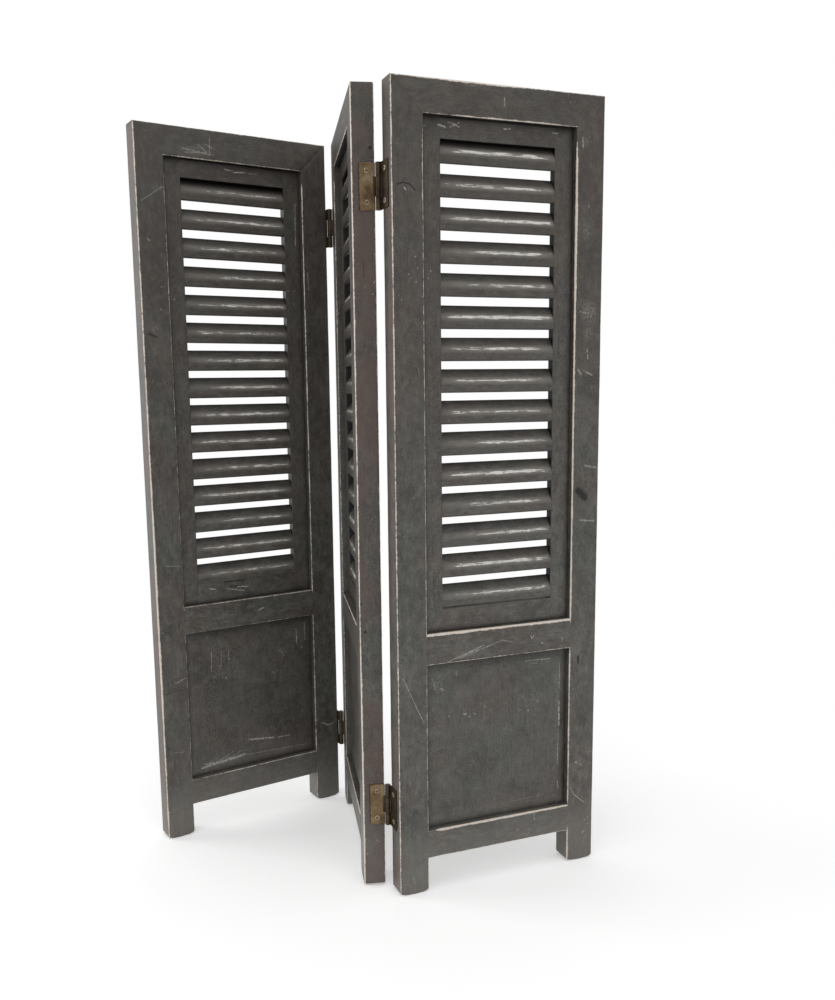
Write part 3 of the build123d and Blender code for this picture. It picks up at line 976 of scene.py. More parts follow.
# Marks of use, in millimetres on each panel. A stroke is across, up, across, up, depth, half width
# and strength; a patch is across, up, depth, reach across, reach up and strength.
marksOf = {
    "right": {
        "strokes": [
            (44.1, 666.1, 50.3, 664.3, 6, 0.9, 0.7), (53.1, 668.4, 60.3, 666.6, 6, 0.6, 0.6),
            (54.8, 664.6, 63.9, 669, 6, 0.7, 0.8), (56.7, 667.9, 63, 665.2, 6, 0.7, 0.8),
            (104.7, 666.8, 110.4, 667.5, 6, 0.8, 0.8), (151.8, 667.2, 156.8, 667.1, 6, 0.6, 0.5),
            (101.9, 689.5, 102, 683.3, 0, 0.6, 0.55), (11, 613.7, 12.7, 611.7, 0, 0.7, 0.9),
            (4.9, 203.2, 23.6, 161.4, 0, 0.5, 0.55), (11.7, 21.4, 14.2, 10.5, 0, 0.5, 0.4),
            (47.4, 213, 83.2, 224.6, 0, 0.6, 0.5), (59.2, 215, 102.1, 227.5, 0, 0.6, 0.5),
            (55.3, 215.4, 77.8, 221.9, 0, 0.8, 0.45), (102.1, 227.5, 113.1, 223.7, 0, 0.5, 0.45),
            (130.9, 228, 132, 225.5, 0, 0.6, 0.7), (132.8, 225.4, 134, 228, 0, 0.6, 0.7),
            (142, 220.5, 143.2, 219.9, 0, 0.8, 0.8), (163, 222, 164.4, 221.6, 0, 0.8, 0.7),
            (174.1, 75.9, 179.3, 66.9, 0, 0.45, 0.8), (179.3, 66.9, 190, 57.7, 0, 0.5, 0.9),
            (180.3, 99.6, 181.6, 98.4, 0, 0.8, 0.7), (185.6, 96.6, 186.6, 95.6, 0, 0.8, 0.7),
            (128.4, 57, 141.3, 56.8, 0, 0.6, 0.6), (136.1, 57, 136.2, 48.8, 0, 0.6, 0.6),
            (34.4, 199.5, 37.5, 187.9, 4.5, 0.8, 0.55), (43.4, 188.3, 44.8, 186.4, 4.5, 1.1, 0.5),
            (58.1, 202.7, 58.6, 198.4, 4.5, 0.6, 0.6), (35.2, 182, 34.8, 168, 4.5, 0.8, 0.5),
            (128.2, 203.4, 153.8, 203, 4.6, 0.7, 0.65), (132.5, 201, 141, 199.8, 4.5, 0.6, 0.5),
            (164.3, 197.2, 164.6, 174, 4.6, 0.8, 0.75), (164.6, 160, 164.7, 137, 4.6, 1.2, 1),
            (164.4, 130, 164.5, 118, 4.6, 0.7, 0.6), (163.4, 119, 163.9, 98, 4.5, 0.9, 0.7),
            (163.6, 81, 165, 72.7, 4.6, 0.8, 0.7), (99.6, 69, 146.7, 70.4, 4.5, 0.5, 0.4),
            (184.9, 609, 185.1, 607, 0, 0.8, 0.7), (177.4, 517.5, 187, 516, 0, 0.7, 0.4),
            (185.5, 484.7, 186.6, 476.8, 0, 0.8, 0.5), (177.6, 664, 178.4, 655, 0, 0.8, 0.5),
            (176.5, 466.7, 179.6, 463.2, 0, 0.9, 0.60), (182.7, 465.8, 191.1, 462.2, 0, 0.9, 0.55),
            (185.4, 381, 196.3, 379, 0, 1.3, 0.50), (181, 331.4, 195.2, 329.9, 0, 1.2, 0.42),
        ],
        "grooves": [
            (4.9, 615.7, 10.1, 617.4, 0, 0.8, 0.9), (10.1, 617.4, 16.2, 616.3, 0, 0.8, 0.9),
            (16.2, 616.3, 20.6, 612.2, 0, 0.7, 0.9), (181.3, 203.3, 181.5, 196.7, 0, 1.4, 0.7),
            (178.5, 358.5, 185.5, 352, 0, 4.6, 0.75), (20, 470, 21.5, 462, 0, 0.6, 0.5),
        ],
        "patches": [
            (187, 516, 0, 13, 14, 0.65), (186.5, 499, 0, 7, 8, 0.6), (183, 586, 0, 6, 12, 0.5),
            (182, 662, 0, 6, 9, 0.4), (68, 221, 0, 22, 9, 0.4), (186, 98, 0, 8, 6, 0.3),
            (75, 698, 0, 18, 3.5, 0.6), (40, 192, 4.5, 9, 12, 0.35), (163, 150, 4.5, 4, 40, 0.4),
        ],
    },
    "left": {
        "strokes": [
            (74.8, 692.4, 74.2, 678.2, 0, 0.5, 0.62), (62.6, 685.9, 74.9, 675.7, 0, 0.5, 0.45),
            (69.7, 686.7, 79.6, 682.6, 0, 0.6, 0.35), (47, 680.3, 77.9, 677.3, 0, 0.9, 0.3),
            (49.6, 676.8, 69.4, 678.9, 0, 0.8, 0.3), (21.4, 688.1, 28, 684.4, 0, 0.8, 0.5),
            (4.9, 629.4, 30.1, 646.3, 0, 0.8, 0.25), (8.5, 595.6, 11.1, 593.9, 0, 0.8, 0.5),
            (91.5, 666.9, 100.3, 666, 6, 0.8, 0.6), (100.3, 664.7, 112.2, 665.9, 6, 0.8, 0.8),
            (113, 665.2, 124.9, 665.5, 6, 0.6, 0.4), (167.2, 641.7, 166.5, 599.9, 6, 0.7, 0.5),
            (176.4, 572.3, 177.5, 555.3, 0, 0.8, 0.4), (52.2, 209.8, 51.9, 203, 4.5, 0.8, 0.7),
            (56.3, 190.2, 55.4, 168, 4.5, 0.6, 0.55), (67.3, 196.6, 66.3, 172.2, 4.5, 0.5, 0.4),
            (75.2, 187.2, 74.9, 174, 4.5, 0.6, 0.6), (153.7, 198.8, 153.8, 182.5, 4.5, 0.9, 0.6),
            (163.8, 203.4, 164.2, 184.9, 4.6, 0.9, 0.6), (93.7, 86.2, 122.1, 82.4, 4.5, 1.1, 0.8),
            (128.2, 81.7, 142.1, 81, 4.5, 0.9, 0.6), (40.9, 66.3, 88.7, 70.8, 4.6, 1.6, 0.75),
            (43.8, 69.4, 68.1, 69, 4.5, 1.2, 0.6), (68.2, 71, 164, 66.5, 4.6, 0.6, 0.5),
            (45, 63.5, 76, 77, 4.5, 0.6, 0.7), (54, 64, 86, 76.5, 4.5, 0.5, 0.6),
            (172.2, 133.5, 171.9, 98.4, 0, 0.8, 0.6), (180.3, 88.8, 187.2, 84.6, 0, 0.7, 0.95),
            (187.2, 84.6, 195.1, 86.2, 0, 0.6, 0.8), (108.9, 226.5, 113.9, 228, 0, 0.8, 0.9),
            (10.5, 283.9, 26.2, 282.2, 0, 0.5, 0.5), (10.1, 91.4, 19.5, 89.9, 0, 0.5, 0.35),
            (58.4, 254.2, 63.9, 253, 6, 0.8, 0.8), (76.5, 252, 95.8, 247.9, 6, 0.7, 0.6),
            (88, 252.7, 99.4, 251.8, 6, 0.8, 0.7), (15, 163.3, 27, 167.5, 0, 0.9, 0.35),
        ],
        "grooves": [
            (74, 259.2, 96.8, 259, 6, 0.7, 0.9), (79.5, 254.3, 92.3, 253.3, 6, 0.6, 0.8),
            (2.4, 153.7, 26.8, 155.4, 0, 0.5, 0.6), (5.7, 508, 13.7, 505, 0, 1.6, 0.4),
        ],
        "patches": [
            (12, 514, 0, 7, 8, 0.6), (11, 493, 0, 6.5, 7, 0.45), (62, 680, 0, 22, 7, 0.5),
            (66, 70, 4.5, 26, 6, 0.7), (108, 84, 4.5, 22, 4, 0.5), (20, 640, 0, 12, 9, 0.25),
            (62, 188, 4.5, 16, 16, 0.3),
        ],
    },
    "middle": {
        "strokes": [
            (176, 560, 176.4, 540, 0, 0.7, 0.5), (186, 420, 187, 404, 0, 0.7, 0.5),
            (60, 230, 96, 226, 0, 0.8, 0.5), (40, 120, 41, 96, 4.5, 0.8, 0.5),
            (14, 330, 15, 300, 0, 0.6, 0.4), (120, 688, 150, 684, 0, 0.7, 0.5),
        ],
        "grooves": [
            (200, 648.4, 200, 649.2, 16.3, 1.5, 1), (200, 641, 200, 641.6, 17, 0.9, 0.8),
            (200, 637.2, 200, 637.8, 17.4, 0.8, 0.7), (200, 265.8, 200, 266.3, 1.8, 1.2, 1),
            (200, 240.3, 200, 240.9, 5.2, 1.3, 1), (200, 560, 200, 545, 9, 0.5, 0.4),
        ],
        "patches": [
            (186, 52, 0, 14, 60, 0.8), (188, 180, 0, 10, 90, 0.4), (14, 420, 0, 9, 24, 0.3),
            (100, 130, 4.5, 30, 20, 0.25),
        ],
    },
}


def marksOn(side, part):
    # the marks whose middle lies on one board of a panel
    stile, width = panelSize["stile"] * 1000.0, panelSize["width"] * 1000.0
    rails = {"top_rail": topRail, "mid_rail": midRail, "bottom_rail": bottomRail}

    def boardAt(u, z):
        if u < stile:
            return "left_stile"
        if u > width - stile:
            return "right_stile"
        for name, span in rails.items():
            if span[0] * 1000.0 <= z <= span[1] * 1000.0:
                return name
        return "lower_board" if z < midRail[0] * 1000.0 else "louvre_strips"

    def middle(mark):
        return ((mark[0] + mark[2]) / 2, (mark[1] + mark[3]) / 2) if len(mark) == 7 else (mark[0], mark[1])

    return {kind: [mark for mark in marks if boardAt(*middle(mark)) == part]
            for kind, marks in marksOf[side].items()}


def strokeField(tree, point, strokes):
    # strongest stroke at a point; each falls from its strength to nothing over its half width, counted
    # from the nearest point of the line between its ends
    strongest = 0.0
    for startU, startZ, endU, endZ, depth, halfWidth, strength in strokes:
        start = np.array([startU, depth, startZ]) / 1000.0
        run = np.array([endU, depth, endZ]) / 1000.0 - start
        offset = vectorMath(tree, "SUBTRACT", point, start)
        share = vectorMath(tree, "DOT_PRODUCT", offset, run / float(run @ run))
        along = mathNode(tree, "ADD", share, 0.0, clamp=True)
        distance = vectorMath(tree, "DISTANCE", offset, vectorMath(tree, "SCALE", run, along))
        fall = -strength * 1000.0 / halfWidth
        value = mathNode(tree, "MULTIPLY_ADD", distance, fall, strength, clamp=True)
        strongest = mathNode(tree, "MAXIMUM", value, strongest)
    return strongest


def patchField(tree, point, patches):
    # strongest patch at a point; each is an ellipse on its face that fades towards its rim
    strongest = 0.0
    for u, z, depth, reachU, reachZ, strength in patches:
        offset = vectorMath(tree, "SUBTRACT", point, (u / 1000.0, depth / 1000.0, z / 1000.0))
        scaled = vectorMath(tree, "MULTIPLY", offset, (1000.0 / reachU, 400.0, 1000.0 / reachZ))
        value = stepped(tree, vectorMath(tree, "LENGTH", scaled), 1.0, 0.25, strength)
        strongest = mathNode(tree, "MAXIMUM", value, strongest)
    return strongest


def wobbled(tree, point, amount):
    # a point pushed about by a fine noise, so that strokes are never quite straight
    texture = addNode(tree, "ShaderNodeTexNoise", Scale=420.0, Detail=2.0)
    link(tree, point, texture.inputs["Vector"])
    size, shift = (amount,) * 3, (-amount / 2,) * 3
    push = vectorMath(tree, "MULTIPLY_ADD", texture.outputs["Color"], size, shift)
    return vectorMath(tree, "ADD", point, push)


def stainedColour(tree, grain, place, broad=False):
    # cloudy charcoal stain: pale and dark clouds, browner and greener drifts, fine grain and a dry
    # speckle; painted shade makes it browner and darker towards the top of the panel, painted light paler
    # towards the feet
    look = woodLook
    size, fine = (0.55, 0.45) if broad else (1.0, 0.70)
    clouds = noise(tree, stretched(tree, grain, (size, size, 0.7)), 42.0, 4.0, 0.68, 0.5)
    drift = noise(tree, stretched(tree, grain, (size, size, 0.6), (5.0, 2.0, 1.0)), 24.0, 2.0, 0.6)
    fineClouds = noise(tree, stretched(tree, grain, (1.0, 1.0, 0.65), (2.0, 9.0, 4.0)), 170.0, 3.0, 0.7)
    streaks = noise(tree, stretched(tree, grain, (1.0, 1.0, 0.04)), 1100.0, 3.0, 0.6, 0.2)
    speckle = noise(tree, grain, 1700.0, 2.0, 0.7)
    steps = [
        (drift, 0.50, 0.66, 0.9, "stainBrown"), (drift, 0.48, 0.36, 0.9, "stainGreen"),
        (clouds, 0.50, 0.32, 0.85, "stainDark"), (clouds, 0.52, 0.70, 0.80, "stainPale"),
        (fineClouds, 0.51, 0.66, fine, "stainPale"), (fineClouds, 0.49, 0.34, fine, "stainDark"),
        (streaks, 0.48, 0.32, 0.50, "grainDark"), (speckle, 0.52, 0.70, 0.60, "dustAndPaintedLight"),
        (speckle, 0.48, 0.30, 0.65, "grainDark"),
    ]
    colour = look["stain"]
    for field, low, high, most, name in steps:
        colour = mixColours(tree, stepped(tree, field, low, high, most), colour, look[name])
    height = tree.nodes.new("ShaderNodeSeparateXYZ")
    link(tree, place, height.inputs[0])
    # painted light by height: shade at the top, light towards the feet
    for low, high, most, name in look["paintedLightByHeight"]:
        colour = mixColours(tree, stepped(tree, height.outputs["Z"], low, high, most), colour, look[name])
    fromSide = mathNode(tree, "MINIMUM", height.outputs["X"],
                        mathNode(tree, "SUBTRACT", float(panelSize["width"]), height.outputs["X"]))
    browned = mathNode(tree, "MULTIPLY", softStep(tree, fromSide, 0.0012, 0.0003),
                       softStep(tree, drift, 0.36, 0.64))
    colour = mixColours(tree, mathNode(tree, "MULTIPLY", browned, 0.6), colour, look["sideBrown"])
    return colour, streaks, fineClouds


def finishSurface(tree, colour, roughness, height, strength, distance, metallic=0.0):
    # principled shader with a fine relief
    bump = addNode(tree, "ShaderNodeBump", Strength=strength, Distance=distance)
    link(tree, height, bump.inputs["Height"])
    shader = tree.nodes.new("ShaderNodeBsdfPrincipled")
    shader.inputs["Metallic"].default_value = metallic
    link(tree, roughness, shader.inputs["Roughness"])
    link(tree, colour, shader.inputs["Base Color"])
    link(tree, bump.outputs["Normal"], shader.inputs["Normal"])
    toOutput(tree, shader.outputs["BSDF"])


def finishWood(tree, colour, streaks, clouds, bare):
    # matt wood, rougher where it is rubbed bare, with the grain's relief
    look = woodLook
    height = mathNode(tree, "ADD", mathNode(tree, "MULTIPLY", streaks, 0.7),
                      mathNode(tree, "MULTIPLY", clouds, 0.6))
    roughness = mathNode(tree, "MULTIPLY_ADD", clouds, 0.22, look["roughness"] - 0.11)
    roughness = mathNode(tree, "MULTIPLY_ADD", bare, 0.25, roughness)
    finishSurface(tree, colour, roughness, height, 0.6, look["grainRelief"])


def emptyMaterial(name):
    material = bpy.data.materials.new(name)
    material.use_nodes = True
    material.node_tree.nodes.clear()
    return material


def boardWood(name, marks, broad=False):
    # stained boards with pale worn arrises, a few scattered flecks and the board's own marks, and painted
    # shade in recesses, openings and corners
    material = emptyMaterial(name)
    tree = material.node_tree
    look = woodLook
    grain = fieldVector(tree, "grain")
    place = fieldVector(tree, "place")
    colour, streaks, clouds = stainedColour(tree, grain, place, broad)
    if marks["patches"]:
        mottled = noise(tree, place, 420.0, 3.0, 0.8)
        patch = mathNode(tree, "MULTIPLY", patchField(tree, place, marks["patches"]),
                         softStep(tree, mottled, 0.42, 0.62))
        colour = mixColours(tree, patch, colour, look["dustAndPaintedLight"])
    point = wobbled(tree, place, 0.0011) if marks["strokes"] or marks["grooves"] else None
    if marks["grooves"]:
        groove = mathNode(tree, "MULTIPLY", strokeField(tree, point, marks["grooves"]), 2.2, clamp=True)
        colour = mixColours(tree, groove, colour, look["grooveAndShade"])

    flecks = noise(tree, stretched(tree, grain, (1.0, 1.0, 0.7)), 480.0, 1.0, 0.5)
    crowds = noise(tree, place, 16.0, 1.0, 0.5)
    fleck = mathNode(tree, "MULTIPLY", softStep(tree, flecks, 0.715, 0.75),
                     softStep(tree, crowds, 0.60, 0.70))
    pale = mathNode(tree, "MULTIPLY", fleck, 0.8)
    if marks["strokes"]:
        broken = noise(tree, place, 620.0, 2.0, 0.7)
        stroke = mathNode(tree, "MULTIPLY", strokeField(tree, point, marks["strokes"]),
                          softStep(tree, broken, 0.36, 0.56))
        pale = mathNode(tree, "MAXIMUM", mathNode(tree, "MULTIPLY", stroke, 1.5, clamp=True), pale)
    colour = mixColours(tree, pale, colour, look["scratch"])

    rubbedAndHighlight = arrisRub(tree, grain)
    colour = mixColours(tree, rubbedAndHighlight, colour, look["bareWood"])
    # painted shade in recesses, openings and corners
    colour = mixColours(tree, fieldValue(tree, "deep"), colour, look["grooveAndShade"])
    finishWood(tree, colour, streaks, clouds, mathNode(tree, "MAXIMUM", rubbedAndHighlight, pale))
    return material


def arrisRub(tree, grain):
    # pale line along an arris: its half width grows with the wear and is broken up by two noises
    look = woodLook
    arris = fieldValue(tree, "arris")
    rub = fieldValue(tree, "rub")
    ragged = noise(tree, stretched(tree, grain, (1.0, 1.0, 0.45)), 700.0, 3.0, 0.75)
    gaps = noise(tree, stretched(tree, grain, (0.2, 0.2, 1.0), (1.0, 7.0, 3.0)), 60.0, 4.0, 0.75)
    worn = mathNode(tree, "MULTIPLY_ADD", gaps, 1.5, -0.75)
    wear = mathNode(tree, "MAXIMUM", mathNode(tree, "ADD", rub, worn), 0.0)
    width = mathNode(tree, "MULTIPLY", wear, look["rubWidth"])
    uneven = mathNode(tree, "MULTIPLY_ADD", ragged, look["rubRagged"], -look["rubRagged"] / 2)
    distance = mathNode(tree, "ADD", arris, uneven)
    inside = mathNode(tree, "DIVIDE", mathNode(tree, "SUBTRACT", width, distance), look["rubFade"])
    inside = mathNode(tree, "ADD", inside, 0.25, clamp=True)
    return mathNode(tree, "MULTIPLY", inside, softStep(tree, rub, 0.02, 0.12))


def slatWood(name):
    # stained slats rubbed along the nose into fine broken streaks under a painted highlight; the gaps and
    # the slats' backs are painted dark as shade
    material = emptyMaterial(name)
    tree = material.node_tree
    look = woodLook
    grain = fieldVector(tree, "grain")
    colour, streaks, clouds = stainedColour(tree, grain, fieldVector(tree, "place"))
    arris = fieldValue(tree, "arris")
    rub = fieldValue(tree, "rub")
    near = softStep(tree, arris, 0.0050, 0.0)
    lines = noise(tree, stretched(tree, grain, (1.0, 1.0, 0.06)), 1250.0, 2.0, 0.6)
    gaps = noise(tree, stretched(tree, grain, (0.5, 0.5, 1.0), (1.0, 7.0, 3.0)), 130.0, 4.0, 0.75)
    # painted highlight along the nose, stronger where it is rubbed
    sheen = mathNode(tree, "MULTIPLY", near, mathNode(tree, "MULTIPLY_ADD", rub, 0.60, 0.20))
    colour = mixColours(tree, sheen, colour, look["dustAndPaintedLight"])
    core = softStep(tree, arris, 0.0034, 0.0002)
    value = mathNode(tree, "MULTIPLY", core, mathNode(tree, "MULTIPLY_ADD", rub, 0.70, 0.20))
    value = mathNode(tree, "MULTIPLY_ADD", lines, 1.7, value)
    value = mathNode(tree, "MULTIPLY_ADD", gaps, 0.8, value)
    bare = mathNode(tree, "MULTIPLY", softStep(tree, value, 1.94, 2.10), softStep(tree, near, 0.20, 0.5))
    colour = mixColours(tree, bare, colour, look["slatStreak"])
    # painted shade towards the slats' backs and in the gaps
    colour = mixColours(tree, fieldValue(tree, "deep"), colour, look["grooveAndShade"])
    finishWood(tree, colour, streaks, clouds, bare)
    return material


brassLook = {
    "leaf": srgb(122, 100, 70),
    "leafDark": srgb(74, 58, 42),
    "leafPale": srgb(146, 128, 100),
    "screw": srgb(128, 110, 82),
    # rubbed brass, also the pale of the screws' painted rim highlight
    "rubbedAndHighlight": srgb(206, 194, 170),
    # darkening along the edges, and the colour of the painted shade
    "darkEdgesAndShade": srgb(30, 24, 20),
    "metallic": 0.7,
    "roughness": 0.40,
}


def agedBrass(name, base):
    # dull brass: slow brown tarnish, fine rubbing, darker along edges, painted shade on the outer leaves,
    # the knuckles and in the screws' recesses, and bright rubbed rims, painted as a highlight on the screws
    look = brassLook
    material = emptyMaterial(name)
    tree = material.node_tree
    grain = fieldVector(tree, "grain")
    clouds = noise(tree, grain, 95.0, 3.0, 0.5)
    fine = noise(tree, stretched(tree, grain, (1.0, 1.0, 0.3)), 1300.0, 2.0, 0.6)
    colour = mixColours(tree, softStep(tree, clouds, 0.42, 0.66), base, look["leafPale"])
    for field, low, high, most in ((clouds, 0.46, 0.30, 0.7), (fine, 0.50, 0.30, 0.5)):
        colour = mixColours(tree, stepped(tree, field, low, high, most), colour, look["leafDark"])
    rubbedAndHighlight = mathNode(tree, "MULTIPLY", fieldValue(tree, "rub"), softStep(tree, fine, 0.36, 0.52))
    colour = mixColours(tree, rubbedAndHighlight, colour, look["rubbedAndHighlight"])
    ragged = mathNode(tree, "MULTIPLY_ADD", fine, 0.0012, fieldValue(tree, "arris"))
    darkEdgesAndShade = stepped(tree, ragged, 0.0017, 0.0006, 0.85)
    # darker along the edges, and painted shade where the field gives it
    colour = mixColours(tree, mathNode(tree, "MAXIMUM", darkEdgesAndShade, fieldValue(tree, "deep")), colour,
                        look["darkEdgesAndShade"])
    roughness = mathNode(tree, "MULTIPLY_ADD", clouds, 0.25, look["roughness"] - 0.1)
    finishSurface(tree, colour, roughness, fine, 0.4, 0.0001, look["metallic"])
    return material


plainWood = boardWood("plainBoardWood", {"strokes": [], "grooves": [], "patches": []})
woodOf = {}
for side in places:
    for part in ["left_stile", "right_stile", "top_rail", "mid_rail", "bottom_rail", "lower_board",
                 "louvre_strips"]:
        marks = marksOn(side, part)
        broad = part == "lower_board"
        marked = any(marks.values()) or broad
        woodOf[side, part] = boardWood(side + "_" + part + "_wood", marks, broad) if marked else plainWood
woodOfSlats = slatWood("slatWood")
leafBrass = agedBrass("leafBrass", brassLook["leaf"])
screwBrass = agedBrass("screwBrass", brassLook["screw"])
print("materials made")


# Wear of the long arrises, from 0 to 1: heights or distances across in metres, each with its strength

sideWear = {
    "right": {
        "leftOuter": [(0.0, 0.42), (0.25, 0.34), (0.7, 0.40)],
        "leftInner": [(0.0, 0.30), (0.06, 0.30), (0.20, 0.34), (0.25, 0.36), (0.50, 0.36), (0.66, 0.38)],
        "rightInner": [(0.0, 0.85), (0.03, 0.70), (0.062, 0.50), (0.20, 0.60), (0.245, 0.85), (0.50, 0.85),
                       (0.57, 1.15), (0.62, 1.35), (0.655, 1.1), (0.668, 0.60)],
        "rightOuter": [(0.0, 0.26), (0.3, 0.28), (0.5, 0.30), (0.7, 0.14)],
        "topRail": [[(0.03, 0.10), (0.055, 0.35), (0.075, 0.60), (0.16, 0.70), (0.17, 0.35)],
                    [(0.0, 0.35), (0.03, 0.80), (0.06, 1.1), (0.10, 1.2), (0.12, 0.60), (0.16, 0.45),
                     (0.2, 0.25)], 0.25, 0.3],
        # the right mid rail's top front arris is worn wide and pale, and this wear also paints the
        # highlight of light on the rail's top
        "midRail": [[(0.03, 0.32), (0.17, 0.36)],
                    [(0.03, 1.5), (0.06, 1.7), (0.09, 1.2), (0.13, 1.4), (0.168, 1.5)],
                    0.3, 0.3],
        "bottomRail": [0.50, [(0.034, 0.10), (0.04, 1.15), (0.12, 1.25), (0.168, 1.0)], 0.3, 0.3],
    },
    "left": {
        "leftOuter": [(0.0, 0.60), (0.10, 0.62), (0.16, 1.05), (0.30, 1.0), (0.40, 0.60), (0.7, 0.45)],
        "leftInner": [(0.0, 0.22), (0.06, 0.26), (0.20, 0.24), (0.25, 0.20), (0.45, 0.30), (0.66, 0.34)],
        "rightInner": [(0.0, 0.40), (0.03, 0.30), (0.062, 0.26), (0.20, 0.30), (0.245, 0.34), (0.60, 0.48),
                       (0.668, 0.45)],
        "rightOuter": [(0.0, 0.20), (0.3, 0.14), (0.7, 0.20)],
        "topRail": [[(0.03, 0.40), (0.09, 0.36), (0.17, 0.40)], 0.28, 0.25, 0.3],
        "midRail": [[(0.03, 0.14), (0.17, 0.14)], [(0.03, 0.26), (0.17, 0.36)], 0.3, 0.3],
        "bottomRail": [0.26, [(0.03, 0.20), (0.06, 0.45), (0.168, 0.40)], 0.3, 0.3],
    },
    "middle": {
        "leftOuter": [(0.0, 0.30), (0.7, 0.36)],
        "leftInner": [(0.0, 0.30), (0.66, 0.34)],
        "rightInner": [(0.0, 0.50), (0.062, 0.40), (0.20, 0.45), (0.66, 0.40)],
        "rightOuter": [(0.0, 0.75), (0.15, 0.85), (0.24, 0.60), (0.35, 0.55), (0.7, 0.72)],
        "topRail": [0.45, 0.30, 0.25, 0.3],
        "midRail": [0.35, 0.50, 0.3, 0.3],
        "bottomRail": [0.35, 0.65, 0.3, 0.3],
    },
}
backWear = {"outer": [(0.0, 0.34), (0.35, 0.26), (0.7, 0.36)],
            "inner": [(0.0, 0.30), (0.3, 0.24), (0.66, 0.30)]}


def stopAtRails(profile):
    # no wear where a rail meets the stile flush
    stops = [(bottomRail[0], bottomRail[1]), (midRail[0], midRail[1]), (topRail[0], 1.0)]
    heights = np.linspace(0.0, panelSize["height"], 351)
    values = between(heights, profile)
    for low, high in stops:
        values = np.where((heights > low) & (heights < high), 0.0, values)
    return list(zip(heights, values))


def stileProfiles(side, atRight):
    wear = sideWear[side]
    if atRight:
        return [stopAtRails(wear["rightInner"]), wear["rightOuter"], backWear["outer"],
                stopAtRails(backWear["inner"])]
    return [wear["leftOuter"], stopAtRails(wear["leftInner"]), stopAtRails(backWear["inner"]),
            backWear["outer"]]


def dressPanel(side, seed):
    body = side + "_panel"
    stile, width = panelSize["stile"], panelSize["width"]

    def wooden(part, skins, material=None):
        wood = material or woodOf[side, part]
        addPiece(side + "_" + part + "_dressed", skins, wood, body,
                 [side + "_panel_" + part])

    wooden("left_stile", [stileSkin(side, False, stileProfiles(side, False), seed + 1)])
    wooden("right_stile", [stileSkin(side, True, stileProfiles(side, True), seed + 2)])
    wooden("top_rail", [topRailSkin(side, sideWear[side]["topRail"], seed + 3)])
    wooden("mid_rail", [railSkin(side, midRail[0], midRail[1], sideWear[side]["midRail"], seed + 4)])
    wooden("bottom_rail",
           [railSkin(side, bottomRail[0], bottomRail[1], sideWear[side]["bottomRail"], seed + 5)])
    wooden("lower_board", [lowerBoardSkin(side, seed + 6)])
    upright = (midRail[1], topRail[0])
    wooden("louvre_side_strips", [
        stripSkin(side, "uwz", (stile, slatSpan[0]), upright, seed + 7),
        stripSkin(side, "uwz", (slatSpan[1], width - stile), upright, seed + 8),
    ], woodOf[side, "louvre_strips"])
    wooden("louvre_end_strips", [
        stripSkin(side, "zwu", (midRail[1], stripEdges[0]), slatSpan, seed + 9),
        stripSkin(side, "zwu", (stripEdges[1], topRail[0]), slatSpan, seed + 10),
    ], woodOf[side, "louvre_strips"])
    wooden("slats", [slatSkin(side, index, seed + 20 + index) for index in range(slatLook["count"])],
           woodOfSlats)


for number, side in enumerate(places):
    dressPanel(side, 100 * (number + 1))
print("panels dressed")


def middleHeight(node):
    low, high = nodeBox(node)
    return (low[2] + high[2]) / 2


hingeRows = [  # hinge line, panel, at the panel's right edge, pin behind the panel, kind of leaf
    ("left", "left", True, False, "outer"),
    ("left", "middle", False, False, "inner"),
    ("right", "middle", True, True, "inner"),
    ("right", "right", False, True, "outer"),
]
screwsOf = {side: [] for side in places}
for row, (line, side, atRight, behind, leafKind) in enumerate(hingeRows):
    for level in ("lower", "upper"):
        node = line + "_hinge_" + level + "_" + leafKind + "_leaf"
        height = middleHeight(node)
        seed = 900 + row * 10 + (level == "upper") * 5
        skins = leafSkins(side, atRight, behind, height, leafKind, seed)
        addPiece(node + "_dressed", skins, leafBrass, side + "_panel", [node], 50.0)
        for offset in (-0.5, 0.5):
            screwHeight = height + offset * hingeLook["screwSpacing"]
            screwsOf[side].append(screwSkin(side, atRight, behind, screwHeight, seed + int(offset * 2) + 2))
for side, skins in screwsOf.items():
    addPiece(side + "_hinge_screws_dressed", skins, screwBrass, side + "_panel",
             [side + "_panel_hinge_screws"], 35.0)
for line, atRight in (("left", False), ("right", True)):
    heights = [middleHeight(line + "_hinge_" + level + "_inner_leaf") for level in ("lower", "upper")]
    skins = [pinSkin("middle", atRight, atRight, height, 970 + index)
             for index, height in enumerate(heights)]
    addPiece(line + "_hinge_pins_dressed", skins, screwBrass, "middle_panel",
             [line + "_hinge_pins"])
print("hinges dressed")


# Floor, light and camera

stageLook = {
    "floorHalf": 6.0,
    "floorColour": (0.86, 0.86, 0.86),
    "floorGlow": (0.34, 0.34, 0.34),
    "shadowFrom": 0.35,
    "shadowReach": 0.9,
    "worldLight": 0.66,
    "lamps": {  # place, target, size, power
        "sideLamp": ((-2.2, 1.2, 0.8), (0.0, 0.0, 0.35), (1.2, 1.2), 24.0),
        "topLamp": ((-0.2, -0.8, 2.3), (0.0, 0.0, 0.35), (1.2, 1.2), 8.0),
    },
}


